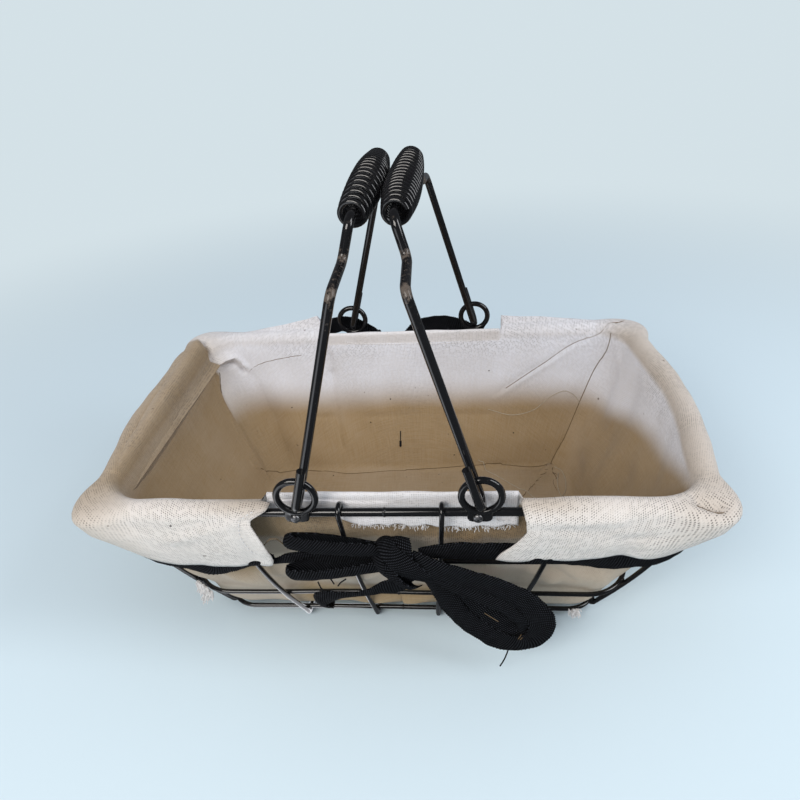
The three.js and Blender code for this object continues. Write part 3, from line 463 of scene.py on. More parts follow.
# Ribs. Four across and two along, each one wire hooked over the rim at both
# ends, run down the wall, under the base hoop and across the floor; the four
# corner ribs curl under the base hoop.
HOOK_PAST_LEVEL = math.radians(16)
CORNER_CURL = math.radians(75)
RIB_X = {"outer_left": -0.093, "centre_left": -0.028, "centre_right": 0.028, "outer_right": 0.093}
RIB_Y = 0.036
RIB_X_AT_BASE = BASE_LENGTH / RIM_LENGTH
RIB_Y_AT_BASE = RIB_Y / (RIM_WIDTH / 2 - RIM_CORNER) * (BASE_WIDTH / 2 - BASE_CORNER)
FLOOR_LEVEL = 0.001386
LONG_LEVEL = FLOOR_LEVEL + 2 * WIRE_RADIUS + GAP
FOLD = 0.006


def arc(centre, radius, start, end, steps):
    angles = np.linspace(start, end, steps + 1)
    return [(centre[0] + radius * math.cos(a), centre[1] + radius * math.sin(a)) for a in angles]


def bend(before, corner, after, radius, steps):
    """The bend between two straight runs that meet at a corner."""
    corner = Vector(corner)
    to_before, to_after = (Vector(before) - corner).normalized(), (Vector(after) - corner).normalized()
    half = to_before.angle(to_after) / 2
    centre = corner + (to_before + to_after).normalized() * radius / math.sin(half)
    start = corner + to_before * radius / math.tan(half) - centre
    end = corner + to_after * radius / math.tan(half) - centre
    first = math.atan2(start.y, start.x)
    turn = (math.atan2(end.y, end.x) - first + math.pi) % (2 * math.pi) - math.pi
    return arc(centre, radius, first, first + turn, steps)


def rib_wall(rim_out, base_out):
    """[out, height] pairs from the hook's cut end over the rim and down."""
    hook = arc((rim_out, RIM_HEIGHT), RIM_SEAT, math.pi + HOOK_PAST_LEVEL, -wall_lean(rim_out, base_out, 0), 22)
    wall = []
    for drop in np.linspace(0.04, 0.96, 30):
        lean = wall_lean(rim_out, base_out, drop)
        wall.append((wall_out(rim_out, base_out, drop) + rib_seat(drop) / math.cos(lean),
                     RIM_HEIGHT - drop * WALL_DROP))
    return hook + wall


def floor_rib(rim_out, base_out, level, rim_side, base_side, along_x):
    """The line of a rib that crosses the floor at this level. A cross rib folds
    under the base hoop, and a long rib bends round it and lies on the others."""
    half = rib_wall(rim_out, base_out)
    lean = wall_lean(rim_out, base_out, 1)
    if along_x:
        half += arc((base_out, BASE_HEIGHT), HOOP_SEAT, -lean, -math.pi / 2, 10)
    else:
        passing = (base_out + HOOP_SEAT * math.cos(lean), BASE_HEIGHT - HOOP_SEAT * math.sin(lean))
        corner = (passing[0] - (passing[1] - level) * math.tan(lean), level)
        half += [passing] + bend(passing, corner, (0, level), FOLD, 10)
    across = [(out, level) for out in np.linspace(half[-1][0], -half[-1][0], 46)[1:-1]]
    points = []
    for out, height in half + across + [(-out, height) for out, height in reversed(half)]:
        side = rim_side + (base_side - rim_side) * drop_at(height)
        points.append((out, side, height) if along_x else (side, -out, height))
    return bow_ends(points)


def rib(name, node, line):
    belongs(wires(name, [line], WIRE_RADIUS, ENAMEL, wander=0.0006), "basket", "enamelled_wire", node)


for rib_name, rib_x in RIB_X.items():
    rib(f"wire_rib_{rib_name}", f"cross_rib_{rib_name}",
        floor_rib(RIM_WIDTH / 2, BASE_WIDTH / 2, FLOOR_LEVEL, rib_x, rib_x * RIB_X_AT_BASE, False))
for rib_name, hand in (("front", -1), ("rear", 1)):
    rib(f"wire_rib_long_{rib_name}", f"long_rib_{rib_name}",
        floor_rib(RIM_LENGTH / 2, BASE_LENGTH / 2, LONG_LEVEL, hand * RIB_Y, hand * RIB_Y_AT_BASE, True))

base_centre = Vector((BASE_LENGTH / 2 - BASE_CORNER, BASE_WIDTH / 2 - BASE_CORNER))
corner_run = Vector((RIM_LENGTH / 2 - RIM_CORNER, RIM_WIDTH / 2 - RIM_CORNER)) - base_centre
corner_way = corner_run.normalized()
CORNER_RIM_OUT = corner_run.length + RIM_CORNER


def at_corner(sx, sy, out, height):
    """The place this far out along the slant of a corner."""
    return sx * (base_centre.x + corner_way.x * out), sy * (base_centre.y + corner_way.y * out), height


corner_curl = arc((BASE_CORNER, BASE_HEIGHT), HOOP_SEAT, -wall_lean(CORNER_RIM_OUT, BASE_CORNER, 1),
                  -math.pi / 2 - CORNER_CURL, 16)
for end_name, sy in (("front", -1), ("rear", 1)):
    for hand_name, sx in (("left", -1), ("right", 1)):
        rib(f"wire_rib_corner_{end_name}_{hand_name}", f"corner_rib_{end_name}_{hand_name}",
            bow_ends([at_corner(sx, sy, out, height)
                      for out, height in rib_wall(CORNER_RIM_OUT, BASE_CORNER) + corner_curl]))

# Welds. Where wires cross, resistance welding leaves a small bead of steel in
# the corner between them, which the enamel rounds over.


def set_out_recipe():
    """One part on every vertex of a mesh, turned and scaled by the vertex's own
    values, with a little unevenness."""
    sheet, (places, part, uneven, seed, finish) = recipe(
        "set_out", ("Places", "Geometry"), ("Part", "Object"), ("Unevenness", "Float"), ("Seed", "Int"),
        ("Finish", "Material"))
    model = sheet.node("GeometryNodeObjectInfo", {"Object": part}, output="Geometry")
    turn, scale = (sheet.node("GeometryNodeInputNamedAttribute", {"Name": name}, data_type="FLOAT_VECTOR")
                   for name in ("turn", "size"))
    chance = sheet.node("FunctionNodeRandomValue", {"Min": (-1, -1, -1), "Max": (1, 1, 1), "Seed": seed},
                        data_type="FLOAT_VECTOR")
    spread = sheet.vector("SCALE", chance, uneven)
    scale = sheet.vector("MULTIPLY", scale, sheet.vector("ADD", spread, (1, 1, 1)))
    parts = sheet.node("GeometryNodeInstanceOnPoints", {
        "Points": places, "Instance": model, "Rotation": sheet.vector("ADD", turn, spread), "Scale": scale})
    return finished(sheet, parts, finish)


SET_OUT = set_out_recipe()


def set_out(name, part, places, turns, sizes, finish, unevenness=0.0, seed=1):
    """One mesh of copies of a part. Turns are Euler angles, sizes x, y, z."""
    source = mesh_of(name, places)
    for attribute, values in (("turn", turns), ("size", sizes)):
        layer = source.attributes.new(attribute, "FLOAT_VECTOR", "POINT")
        layer.data.foreach_set("vector", np.array(values, np.float32).ravel())
    model = put(f"{name}_part", part)
    piece = from_recipe(name, source, SET_OUT, Part=model, Unevenness=unevenness, Seed=seed,
                        Finish=finish.material)
    bpy.data.objects.remove(model)
    for spent in ("turn", "size"):
        if spent in piece.data.attributes:
            piece.data.attributes.remove(piece.data.attributes[spent])
    shade_by_angle(piece.data)
    return piece


def turned(name, profile, sides):
    """A turned part: [radius, along Z] pairs from one end to the other."""
    angles = [2 * math.pi * k / sides for k in range(sides)]
    points = [(radius * math.cos(a), radius * math.sin(a), along) for radius, along in profile for a in angles]
    ends = [tuple(reversed(range(sides))), tuple(range(len(points) - sides, len(points)))]
    return mesh_of(name, points, quads(len(profile), sides) + ends)


bead = turned("weld_bead", [(0.35, -0.92), (0.75, -0.6), (1, 0), (0.75, 0.6), (0.35, 0.92)], 10)
BEAD_SIZE, CORNER_TURN, CROSS_TILT = (0.0017, 0.0012, 0.0017), 0.7, 0.4
weld_places, weld_turns = [], []
for drop in HOOP_DROPS.values():
    height = RIM_HEIGHT - drop * WALL_DROP
    seat = rib_seat(drop) - HOOP_SEAT / 2
    for rib_x in RIB_X.values():
        side = rib_x * (1 + (RIB_X_AT_BASE - 1) * drop)
        for hand in (-1, 1):
            weld_places.append((side, hand * (wall_out(RIM_WIDTH / 2, BASE_WIDTH / 2, drop) + seat), height))
            weld_turns.append((0, 0, 0))
    side = RIB_Y + (RIB_Y_AT_BASE - RIB_Y) * drop
    for sx in (-1, 1):
        for sy in (-1, 1):
            out = wall_out(RIM_LENGTH / 2, BASE_LENGTH / 2, drop) + seat
            weld_places.append(bow_ends([(sx * out, sy * side, height)])[0])
            weld_turns.append((0, 0, math.pi / 2))
            out = wall_out(CORNER_RIM_OUT, BASE_CORNER, drop) + seat
            weld_places.append(bow_ends([at_corner(sx, sy, out, height)])[0])
            weld_turns.append((0, 0, CORNER_TURN))
for rib_x in RIB_X.values():
    for hand in (-1, 1):
        weld_places.append((rib_x * RIB_X_AT_BASE, hand * RIB_Y_AT_BASE, (FLOOR_LEVEL + LONG_LEVEL) / 2))
        weld_turns.append((CROSS_TILT, 0, 0))
welds = set_out("weld_beads", bead, weld_places, weld_turns, [BEAD_SIZE] * len(weld_places), ENAMEL,
                unevenness=0.18, seed=4)
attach(welds, "basket")

# Butt welds. The two ends of the rim and of each hoop meet at the front in a
# low collar of weld metal, hardly dressed before the enamel went on.
collar = turned("collar", [(0.99, -1), (1.1, -0.55), (1.16, 0), (1.1, 0.55), (0.99, 1)], 16)
butt_places = [(BUTT_X, -RIM_WIDTH / 2, RIM_HEIGHT)]
for drop in HOOP_DROPS.values():
    nearest = min(hoop_line(drop), key=lambda p: abs(p[0] - BUTT_X) + (1 if p[1] > 0 else 0))
    butt_places.append((BUTT_X, nearest[1], nearest[2]))
butt_sizes = [(RIM_RADIUS, RIM_RADIUS, 0.0009)] + [(WIRE_RADIUS, WIRE_RADIUS, 0.0006)] * 3
butts = set_out("butt_welds", collar, butt_places, [(0, math.pi / 2, 0)] * 4, butt_sizes, ENAMEL,
                unevenness=0.06, seed=2)
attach(butts, "basket")

# Handle rings. Each is an eye of 4 mm wire whose two ends are hammered into one
# flat foot; the foot is riveted through the front or back of the rim.
RING_X, RING_Y, RING_RISE, RING_WIRE, RING_LINE = 0.0492, 0.1103, 0.014, 0.002, 0.0105
FOOT_SHIFT = 0.002


def merged(name, meshes, voxel, smoothing):
    """One skin round several overlapping solids, softened where they meet."""
    points, faces = [], []
    for mesh in meshes:
        first = len(points)
        points.extend(v.co for v in mesh.vertices)
        faces.extend(tuple(first + i for i in face.vertices) for face in mesh.polygons)
    holder = put(f"{name}_source", mesh_of(name, points, faces))
    remesh = holder.modifiers.new("one_skin", "REMESH")
    remesh.mode = "VOXEL"
    remesh.voxel_size = voxel
    soften = holder.modifiers.new("soften", "SMOOTH")
    soften.iterations = smoothing
    soften.factor = 0.5
    return evaluated(holder)


EYE_SIDES, EYE_STEPS = 16, 48
FOOT_HALF_OUTLINE = [(0.0, -0.0029), (0.0042, -0.0029), (0.0058, -0.0023), (0.0067, -0.0008), (0.0068, 0.0008),
                     (0.0064, 0.0022), (0.0068, 0.0036), (0.0078, 0.0050), (0.0050, 0.0042), (0.0, 0.0034)]
FOOT_LAYERS = [(-0.001, 0.82), (-0.0008, 0.95), (0.0, 1.0), (0.0008, 0.95), (0.001, 0.82)]


def ring_shape():
    """The eye and its foot. The foot's layers are drawn in at both faces."""
    points = []
    for angle in (2 * math.pi * k / EYE_STEPS for k in range(EYE_STEPS)):
        for turn in (2 * math.pi * k / EYE_SIDES for k in range(EYE_SIDES)):
            reach = RING_LINE + RING_WIRE * math.cos(turn)
            points.append((reach * math.cos(angle), RING_WIRE * math.sin(turn), RING_RISE + reach * math.sin(angle)))
    eye = mesh_of("eye", points, quads(EYE_STEPS, EYE_SIDES, wrap=True, turned_in=True))
    outline = FOOT_HALF_OUTLINE + [(-x, z) for x, z in reversed(FOOT_HALF_OUTLINE[1:-1])]
    points = [(x * (0.94 + 0.06 * inset) - FOOT_SHIFT / 2, y, (z - 0.0005) * (0.9 + 0.1 * inset) + 0.0005)
              for y, inset in FOOT_LAYERS for x, z in outline]
    count = len(outline)
    ends = [tuple(range(count)), tuple(reversed(range(len(points) - count, len(points))))]
    foot = mesh_of("foot", points, quads(len(FOOT_LAYERS), count, turned_in=True) + ends)
    return merged("ring", [eye, foot], voxel=0.0004, smoothing=3)


CORNERS = [(side, end) for end in (-1, 1) for side in (-1, 1)]
ring_places = [(side * RING_X, end * RING_Y, RIM_HEIGHT) for side, end in CORNERS]
ring_turns = [(0, 0, 0 if end < 0 else math.pi) for _, end in CORNERS]
rings = set_out("handle_rings", ring_shape(), ring_places, ring_turns, [(1, 1, 1)] * 4, ENAMEL)
belongs(rings, "basket", "enamelled_wire", "ring_front_left", "ring_front_right", "ring_rear_left",
        "ring_rear_right")

# Rivets. Domed steel rivets, one through the foot of each ring and the rim,
# with a flat pressed tail inside. The heads show bright through thin enamel.
RIVET_STEEL = Finish("rivet_steel", Metallic=0.85, Coat_Roughness=0.08)
scuffs = RIVET_STEEL.noise(RIVET_STEEL.coordinates(), 700.0, 4.0, 0.7)
RIVET_STEEL.set(Base_Color=RIVET_STEEL.blend(scuffs.above(0.35, 0.7), (0.05, 0.05, 0.052, 1),
                                             (0.34, 0.34, 0.35, 1)),
                Roughness=0.2 + scuffs * 0.22)
RIVET_STEEL.bump(scuffs, 0.3, 0.0002)
RIM_FACE, HEAD_FACE = -RIM_RADIUS - GAP, RIM_RADIUS + 2 * GAP + 0.002
rivet_profile = [(0.0002, RIM_FACE - 0.0011), (0.0019, RIM_FACE - 0.0011), (0.0022, RIM_FACE - 0.0008),
                 (0.0022, RIM_FACE), (0.0011, RIM_FACE), (0.0011, HEAD_FACE), (0.0026, HEAD_FACE),
                 (0.0027, HEAD_FACE + 0.0003)]
rivet_profile += [(0.0027 * math.cos(a), HEAD_FACE + 0.0003 + 0.0015 * math.sin(a))
                  for a in np.linspace(0.2, 1.45, 7)]
rivet_places = [(side * RING_X + end * FOOT_SHIFT, end * RIM_WIDTH / 2, RIM_HEIGHT) for side, end in CORNERS]
rivet_turns = [(-end * math.pi / 2, 0, 0) for _, end in CORNERS]
rivets = set_out("ring_rivets", turned("rivet", rivet_profile, 28), rivet_places, rivet_turns, [(1, 1, 1)] * 4,
                 RIVET_STEEL)
belongs(rivets, "basket", "rivet_steel", "ring_rivet_front_left", "ring_rivet_front_right",
        "ring_rivet_rear_left", "ring_rivet_rear_right")

# Bails. One length of 5 mm rod each, bent cold: a hook that hangs in the ring,
# a shoulder, and a straight run that carries the grip. The enamel has cracked
# off the tight bends and is rubbed there.
BAIL_RADIUS, PIVOT_HEIGHT, REACH = 0.0025, 0.1283, 0.1465
HOOK_RADIUS, HOOK_RETURN, SHOULDER_REACH = 0.0053, 0.028, 0.1225
GRIP_HALF, SHOULDER_HEAD = 0.071, (-0.073, 0.126)
SHOULDER_BEND, GRIP_BEND, END_STEP = 0.006, 0.007, 0.0006
COIL_HANG, GRIP_RADIUS = 0.001251, 0.0105
LEAN = math.asin((RING_X - GRIP_RADIUS - GAP / 2) / (REACH - COIL_HANG))


def in_handle(points, hand):
    """From a bail's own plane, [across, along the grip, reach], to its place."""
    lean = -hand * LEAN
    placed = np.array(points, float)
    x = placed[:, 0] * math.cos(lean) + placed[:, 2] * math.sin(lean)
    z = -placed[:, 0] * math.sin(lean) + placed[:, 2] * math.cos(lean)
    return np.stack([x + hand * RING_X, placed[:, 1], z + PIVOT_HEIGHT], axis=1)


inner, outer = -RING_Y + HOOK_RADIUS, -RING_Y - HOOK_RADIUS
shoulder_foot, grip_corner = (inner, SHOULDER_REACH), (-GRIP_HALF, REACH)
leg = [(outer, HOOK_RETURN - k * END_STEP) for k in range(3)]
leg += arc((-RING_Y, HOOK_RADIUS), HOOK_RADIUS, -math.pi, 0, 24)
leg += bend((inner, HOOK_RADIUS), shoulder_foot, SHOULDER_HEAD, SHOULDER_BEND, 10)
leg += bend(shoulder_foot, SHOULDER_HEAD, grip_corner, SHOULDER_BEND, 10)
leg += bend(SHOULDER_HEAD, grip_corner, (0, REACH), GRIP_BEND, 12)
bail_line = [(0, along, reach) for along, reach in leg] + [(0, -along, reach) for along, reach in reversed(leg)]
WORN_AT = [(-inner, SHOULDER_REACH, 0.006, 0.62), (0.073, 0.126, 0.006, 0.7),
           (GRIP_HALF - 0.001, REACH - 0.002, 0.004, 0.45), (-outer, HOOK_RETURN, 0.0011, 1.0)]
WORN_ENAMEL = enamel_finish("rubbed_enamel", worn=True)
for hand_name, hand in (("left", -1), ("right", 1)):
    bail = wires(f"handle_bail_{hand_name}", [in_handle(bail_line, hand)], BAIL_RADIUS, WORN_ENAMEL, sides=20)
    marks = [(Vector(in_handle([(0, end * along, reach)], hand)[0]), size, depth)
             for end in (-1, 1) for along, reach, size, depth in WORN_AT]
    wear = bail.data.attributes.new("wear", "FLOAT", "POINT")
    wear.data.foreach_set("value", [max(depth * math.exp(-((v.co - mark).length / size) ** 2 / 2)
                                        for mark, size, depth in marks) for v in bail.data.vertices])
    belongs(bail, f"bail_{hand_name}", "enamelled_wire", f"bail_{hand_name}")

# Grips. A close coil of 2.8 mm wire on each bail, wound to a barrel, that hangs
# loose on the rod and turns in the hand. The turns have slid to one end.
COIL_TURNS, COIL_STEPS, COIL_WIRE, COIL_BUNCHING = 18, 28, 0.0014, 0.09
COIL_RUN, COIL_END, COIL_MIDDLE = 0.1232, 0.0059, 0.0091
for hand_name, hand in (("left", -1), ("right", 1)):
    coil_line = []
    for share in np.linspace(0, 1, COIL_TURNS * COIL_STEPS + 1):
        along = share - hand * COIL_BUNCHING * math.sin(math.pi * share) ** 2
        radius = COIL_END + (COIL_MIDDLE - COIL_END) * max(math.sin(math.pi * share), 0) ** 0.8
        angle = share * COIL_TURNS * 2 * math.pi
        coil_line.append((radius * math.cos(angle), (along - 0.5) * COIL_RUN,
                          radius * math.sin(angle) + REACH - COIL_HANG))
    grip = wires(f"coil_grip_{hand_name}", [in_handle(coil_line, hand)], COIL_WIRE, ENAMEL, sides=10)
    belongs(grip, f"grip_{hand_name}", "enamelled_wire", f"grip_coil_{hand_name}")

# Liner. One sewn bag of undyed open-weave linen: floor, walls, a cuff turned
# down over each end of the rim, and between the cuffs a hem folded outwards
# behind the rings. It is held by the tape under the cuffs.
CLOTH_THICK, FLOOR_TOP = 0.0009, 0.0108
OPENING, EAR_REACH, ROLL = 0.069, 0.015, 0.00716
cloth_stations = outline_stations(RIM_LENGTH, RIM_WIDTH, RIM_CORNER, 0.0021)
columns = len(cloth_stations)
rim_line = wall_points(cloth_stations, RIM_HEIGHT, 0.0)
side_step = np.linalg.norm(np.roll(rim_line, -1, axis=0) - rim_line, axis=1)
along_rim = np.concatenate([[0], np.cumsum(side_step)[:-1]])
corner_share = 2 * np.abs(cloth_stations[:, 2] * cloth_stations[:, 3])
on_long_side = np.abs(cloth_stations[:, 3]) > 0.999
in_opening = on_long_side & (np.abs(rim_line[:, 0]) < OPENING)
left_side, right_side = (np.maximum(hand * cloth_stations[:, 2], 0) for hand in (-1, 1))
front_side, rear_side = (np.maximum(hand * cloth_stations[:, 3], 0) for hand in (-1, 1))


def smooth(value, low, high):
    share = np.clip((value - low) / (high - low), 0, 1)
    return share * share * (3 - 2 * share)


def ripple(*waves):
    """Sum of soft waves along the rim, each (height, wavelength, shift)."""
    return sum(height * 0.5 * (1 + np.sin(2 * np.pi * along_rim / length + shift)) for height, length, shift in waves)


def rib_face(height):
    """How far outside the wall's line the ribs' outer faces lie."""
    drop = drop_at(height)
    shrink = RIM_CORNER - BASE_CORNER
    run = (shrink + np.abs(cloth_stations[:, 2]) * ((RIM_LENGTH - BASE_LENGTH) / 2 - shrink)
           + np.abs(cloth_stations[:, 3]) * ((RIM_WIDTH - BASE_WIDTH) / 2 - shrink))
    return (rib_seat(drop) + WIRE_RADIUS) / np.cos(wall_lean(run, 0, drop))


# How far the cuffs hang, from the left end to the right one, and how their
# edges at the openings run: [height, how far the edge is drawn back].
CUFF_DROP = np.interp(
    rim_line[:, 0], [-0.165, -0.150, -0.1285, -0.103, -0.077, 0.060, 0.083, 0.107, 0.131, 0.150, 0.165],
    [0.0320, 0.0330, 0.0377, 0.0375, 0.0357, 0.0287, 0.0316, 0.0300, 0.0262, 0.0290, 0.0320])
LEFT_EDGE = [(0.0815, 0.0110), (0.0840, 0.0060), (0.0880, 0.0030), (0.0950, 0.0019), (0.1080, 0.0028),
             (0.1180, 0.0052), (0.1205, 0.0048), (0.1230, 0.0000), (0.1250, -0.0040), (0.1280, -0.0065)]
RIGHT_EDGE = [(0.0880, -0.0100), (0.0950, -0.0080), (0.1050, -0.0010), (0.1125, 0.0027), (0.1200, 0.0010),
              (0.1280, -0.0015)]
REAR_LEFT_EDGE = [(0.1150, 0.0), (0.1280, 0.0020), (0.1400, 0.0090)]


def drawn_back(points):
    """Pull the cuffs' edges at the openings to their line."""
    near = 1 - smooth(np.abs(points[:, 0]) - OPENING, 0.001, 0.022)
    shift = np.zeros(columns)
    for edge, side in ((LEFT_EDGE, (-1, -1)), (RIGHT_EDGE, (1, -1)), (REAR_LEFT_EDGE, (-1, 1))):
        here = (np.sign(points[:, 0]) == side[0]) & (np.sign(points[:, 1]) == side[1])
        shift += here * np.interp(points[:, 2], *zip(*edge)) * side[0]
    points[:, 0] += shift * near * on_long_side
    return points


# From the middle of the floor outwards, and up the walls. Between the hoops the
# cloth bellies out, and by the hooks of the handles it is drawn in.
rows = []
FLOOR_INSET, WALL_INSET = -0.0045, -0.0034
floor_edge = wall_points(cloth_stations, BASE_HEIGHT, FLOOR_INSET)
for share in np.linspace(0.03, 1, 16):
    lift = 0.0004 * np.sin(share * 9 + along_rim * 31) * share
    row = floor_edge * share
    row[:, 2] = FLOOR_TOP + lift
    rows.append(row)
FLOOR_ROWS = len(rows)
WALL_FOOT, WALL_TOP, HOOKS_FROM = 0.0135, 0.1175, 0.074
HOOP_BAYS = [(0.0080, 0.0354, 0.0042), (0.0354, 0.0769, 0.0050), (0.0769, 0.1200, 0.0022)]
for share in np.linspace(0, 1, 48):
    height = WALL_FOOT + (WALL_TOP - WALL_FOOT) * share
    hang = math.sin(math.pi * share) ** 0.8
    sag = hang * ripple((0.0018, 0.093, 1.0 + share), (0.0009, 0.041, 2.1 - 2 * share), (0.0014, 0.31, 0.4))
    by_hooks = smooth(height, HOOKS_FROM, WALL_TOP) * np.where(in_opening, 0.0052, 0.0038)
    low, high, full = next(bay for bay in HOOP_BAYS if height <= bay[1])
    belly = full * max(math.sin(math.pi * (height - low) / (high - low)), 0) ** 2
    fullness = 1 - 0.75 * rear_side - 0.35 * (left_side + right_side)
    bulge = belly * fullness * (0.55 + 0.45 * np.sin(2 * np.pi * along_rim / 0.067 + 1.1 + 2.2 * share))
    rows.append(wall_points(cloth_stations, np.full(columns, height),
                            WALL_INSET - sag * (1 - corner_share) - by_hooks + bulge))
WALL_ROWS = len(rows)

# Over the rim. A cuff rolls over it in half of the rows and hangs in the rest.
# Behind the handles the cuffs' edges stand up off the rim, the left one more.
ROLL_ROWS = 16
EDGE_ROWS = 2 * ROLL_ROWS
CUT_AT = 6
CURL_AT, CURL_SPREAD, SHOULDER_PULL, OFF_RIBS = 0.80, 0.34, 0.0062, 0.00075
HEM_LOW, HEM_HIGH, HEM_OUT = 0.1187, 0.1256, -0.0086
HEM_FOLD, HEM_FOLD_OUT, HEM_FOLD_RADIUS = 0.1262, -0.0075, 0.0011
FLAP_TOP, FLAP_OUT, REAR_FLAP_LOW = 0.1252, -0.0063, 0.1110
ear = EAR_REACH * corner_share ** 2
past_opening = np.maximum(np.abs(rim_line[:, 0]) - OPENING, 0)
stands_up = rear_side * np.where(rim_line[:, 0] < 0, 0.0130 * np.maximum(1 - past_opening / 0.075, 0) ** 1.1,
                                 0.0078 * np.maximum(1 - past_opening / 0.085, 0))
shoulder = np.sqrt(left_side) * np.exp(-((rim_line[:, 1] - 0.076) / 0.036) ** 2)
gather = ripple((0.0009, 0.036, 0.7), (0.0007, 0.021, 2.9))
hem_path = [(HEM_OUT, z) for z in np.linspace(HEM_LOW, HEM_HIGH, 6)]
hem_path += [(HEM_FOLD_OUT + HEM_FOLD_RADIUS * math.cos(a), HEM_FOLD + HEM_FOLD_RADIUS * math.sin(a))
             for a in np.linspace(2.8, 0.2, 6)]
flap_low = np.interp(rim_line[:, 0], [-0.069, -0.033, -0.022, 0.02, 0.034, 0.069],
                     [0.1172, 0.1166, 0.1092, 0.1078, 0.1064, 0.1080]) + 0.0009 * np.sin(along_rim * 420)
flap_low = np.where(rear_side > 0, REAR_FLAP_LOW, flap_low)
for number in range(EDGE_ROWS):
    if number < ROLL_ROWS:
        angle = math.pi * (1 - (number + 1) / ROLL_ROWS)
        pulled = ear * max(math.cos(angle), 0) ** 0.6
        rolled = ROLL + 0.0004 * np.sin(along_rim * 61 + 1.3)
        cuff = wall_points(cloth_stations, RIM_HEIGHT + rolled * math.sin(angle),
                           pulled + rolled * math.cos(angle), shape_height=RIM_HEIGHT)
        cuff[:, 2] += (stands_up * math.exp(-((angle - CURL_AT) / CURL_SPREAD) ** 2)
                       + 0.0012 * shoulder * math.sin(angle))
        cuff[:, 0] -= SHOULDER_PULL * shoulder * (0.5 + 0.5 * math.cos(angle)) ** 0.6
        if number > CUT_AT:
            cuff = drawn_back(cuff)
    else:
        share = (number + 1 - ROLL_ROWS) / ROLL_ROWS
        height = RIM_HEIGHT - share * CUFF_DROP
        face = rib_face(height) + OFF_RIBS
        out = np.stack([np.interp(share, (0, 0.3, 0.62, 1), (ROLL + e, f + 0.0028 + 0.75 * e + 0.5 * g,
                                                             f + 0.0032 + 0.35 * e + g, f + 0.0022 + g))
                        for e, f, g in zip(ear, face, gather)])
        cuff = drawn_back(wall_points(cloth_stations, height, out))
        cuff[:, 0] -= SHOULDER_PULL * shoulder * (1 - share) ** 0.5
    if number < len(hem_path):
        out, height = hem_path[number]
        height = np.full(columns, height)
    else:
        share = (number - len(hem_path)) / (EDGE_ROWS - 1 - len(hem_path))
        height = FLAP_TOP + (flap_low - FLAP_TOP) * share
        out = FLAP_OUT + 0.0030 * smooth(HEM_FOLD - height, 0.008, 0.015)
    hem = wall_points(cloth_stations, height, np.broadcast_to(out, columns), shape_height=RIM_HEIGHT)
    rows.append(np.where(in_opening[:, None], hem, cuff))
grid = np.array(rows)

# From this row on, the cuffs are cut from the hem. The chart places the weave:
# as seen from above on the floor, and along the cloth elsewhere.
CUT_ROW = WALL_ROWS + CUT_AT
cloth_faces, chart = [], []
v_run = np.concatenate([np.zeros((1, columns)), np.cumsum(np.linalg.norm(np.diff(grid, axis=0), axis=2), axis=0)])
u_run = np.append(along_rim, along_rim[-1] + side_step[-1])
for r in range(len(grid) - 1):
    for c in range(columns):
        if r >= CUT_ROW and in_opening[c] != in_opening[(c + 1) % columns]:
            continue
        corners = [(r + 1, c), (r + 1, c + 1), (r, c + 1), (r, c)]
        cloth_faces.append(tuple(a * columns + b % columns for a, b in corners))
        chart.extend(grid[a, b % columns, :2] if r < FLOOR_ROWS - 1 else (u_run[b], v_run[a, b % columns])
                     for a, b in corners)
cloth_faces.append(tuple(reversed(range(columns))))
chart.extend(grid[0, ::-1, :2])


def chart_weave(mesh, chart):
    mesh.uv_layers.new(name="weave").data.foreach_set("uv", np.array(chart, np.float32).ravel())


flat_points = grid.reshape(-1, 3)
cloth = mesh_of("linen_liner", flat_points, cloth_faces)
chart_weave(cloth, chart)

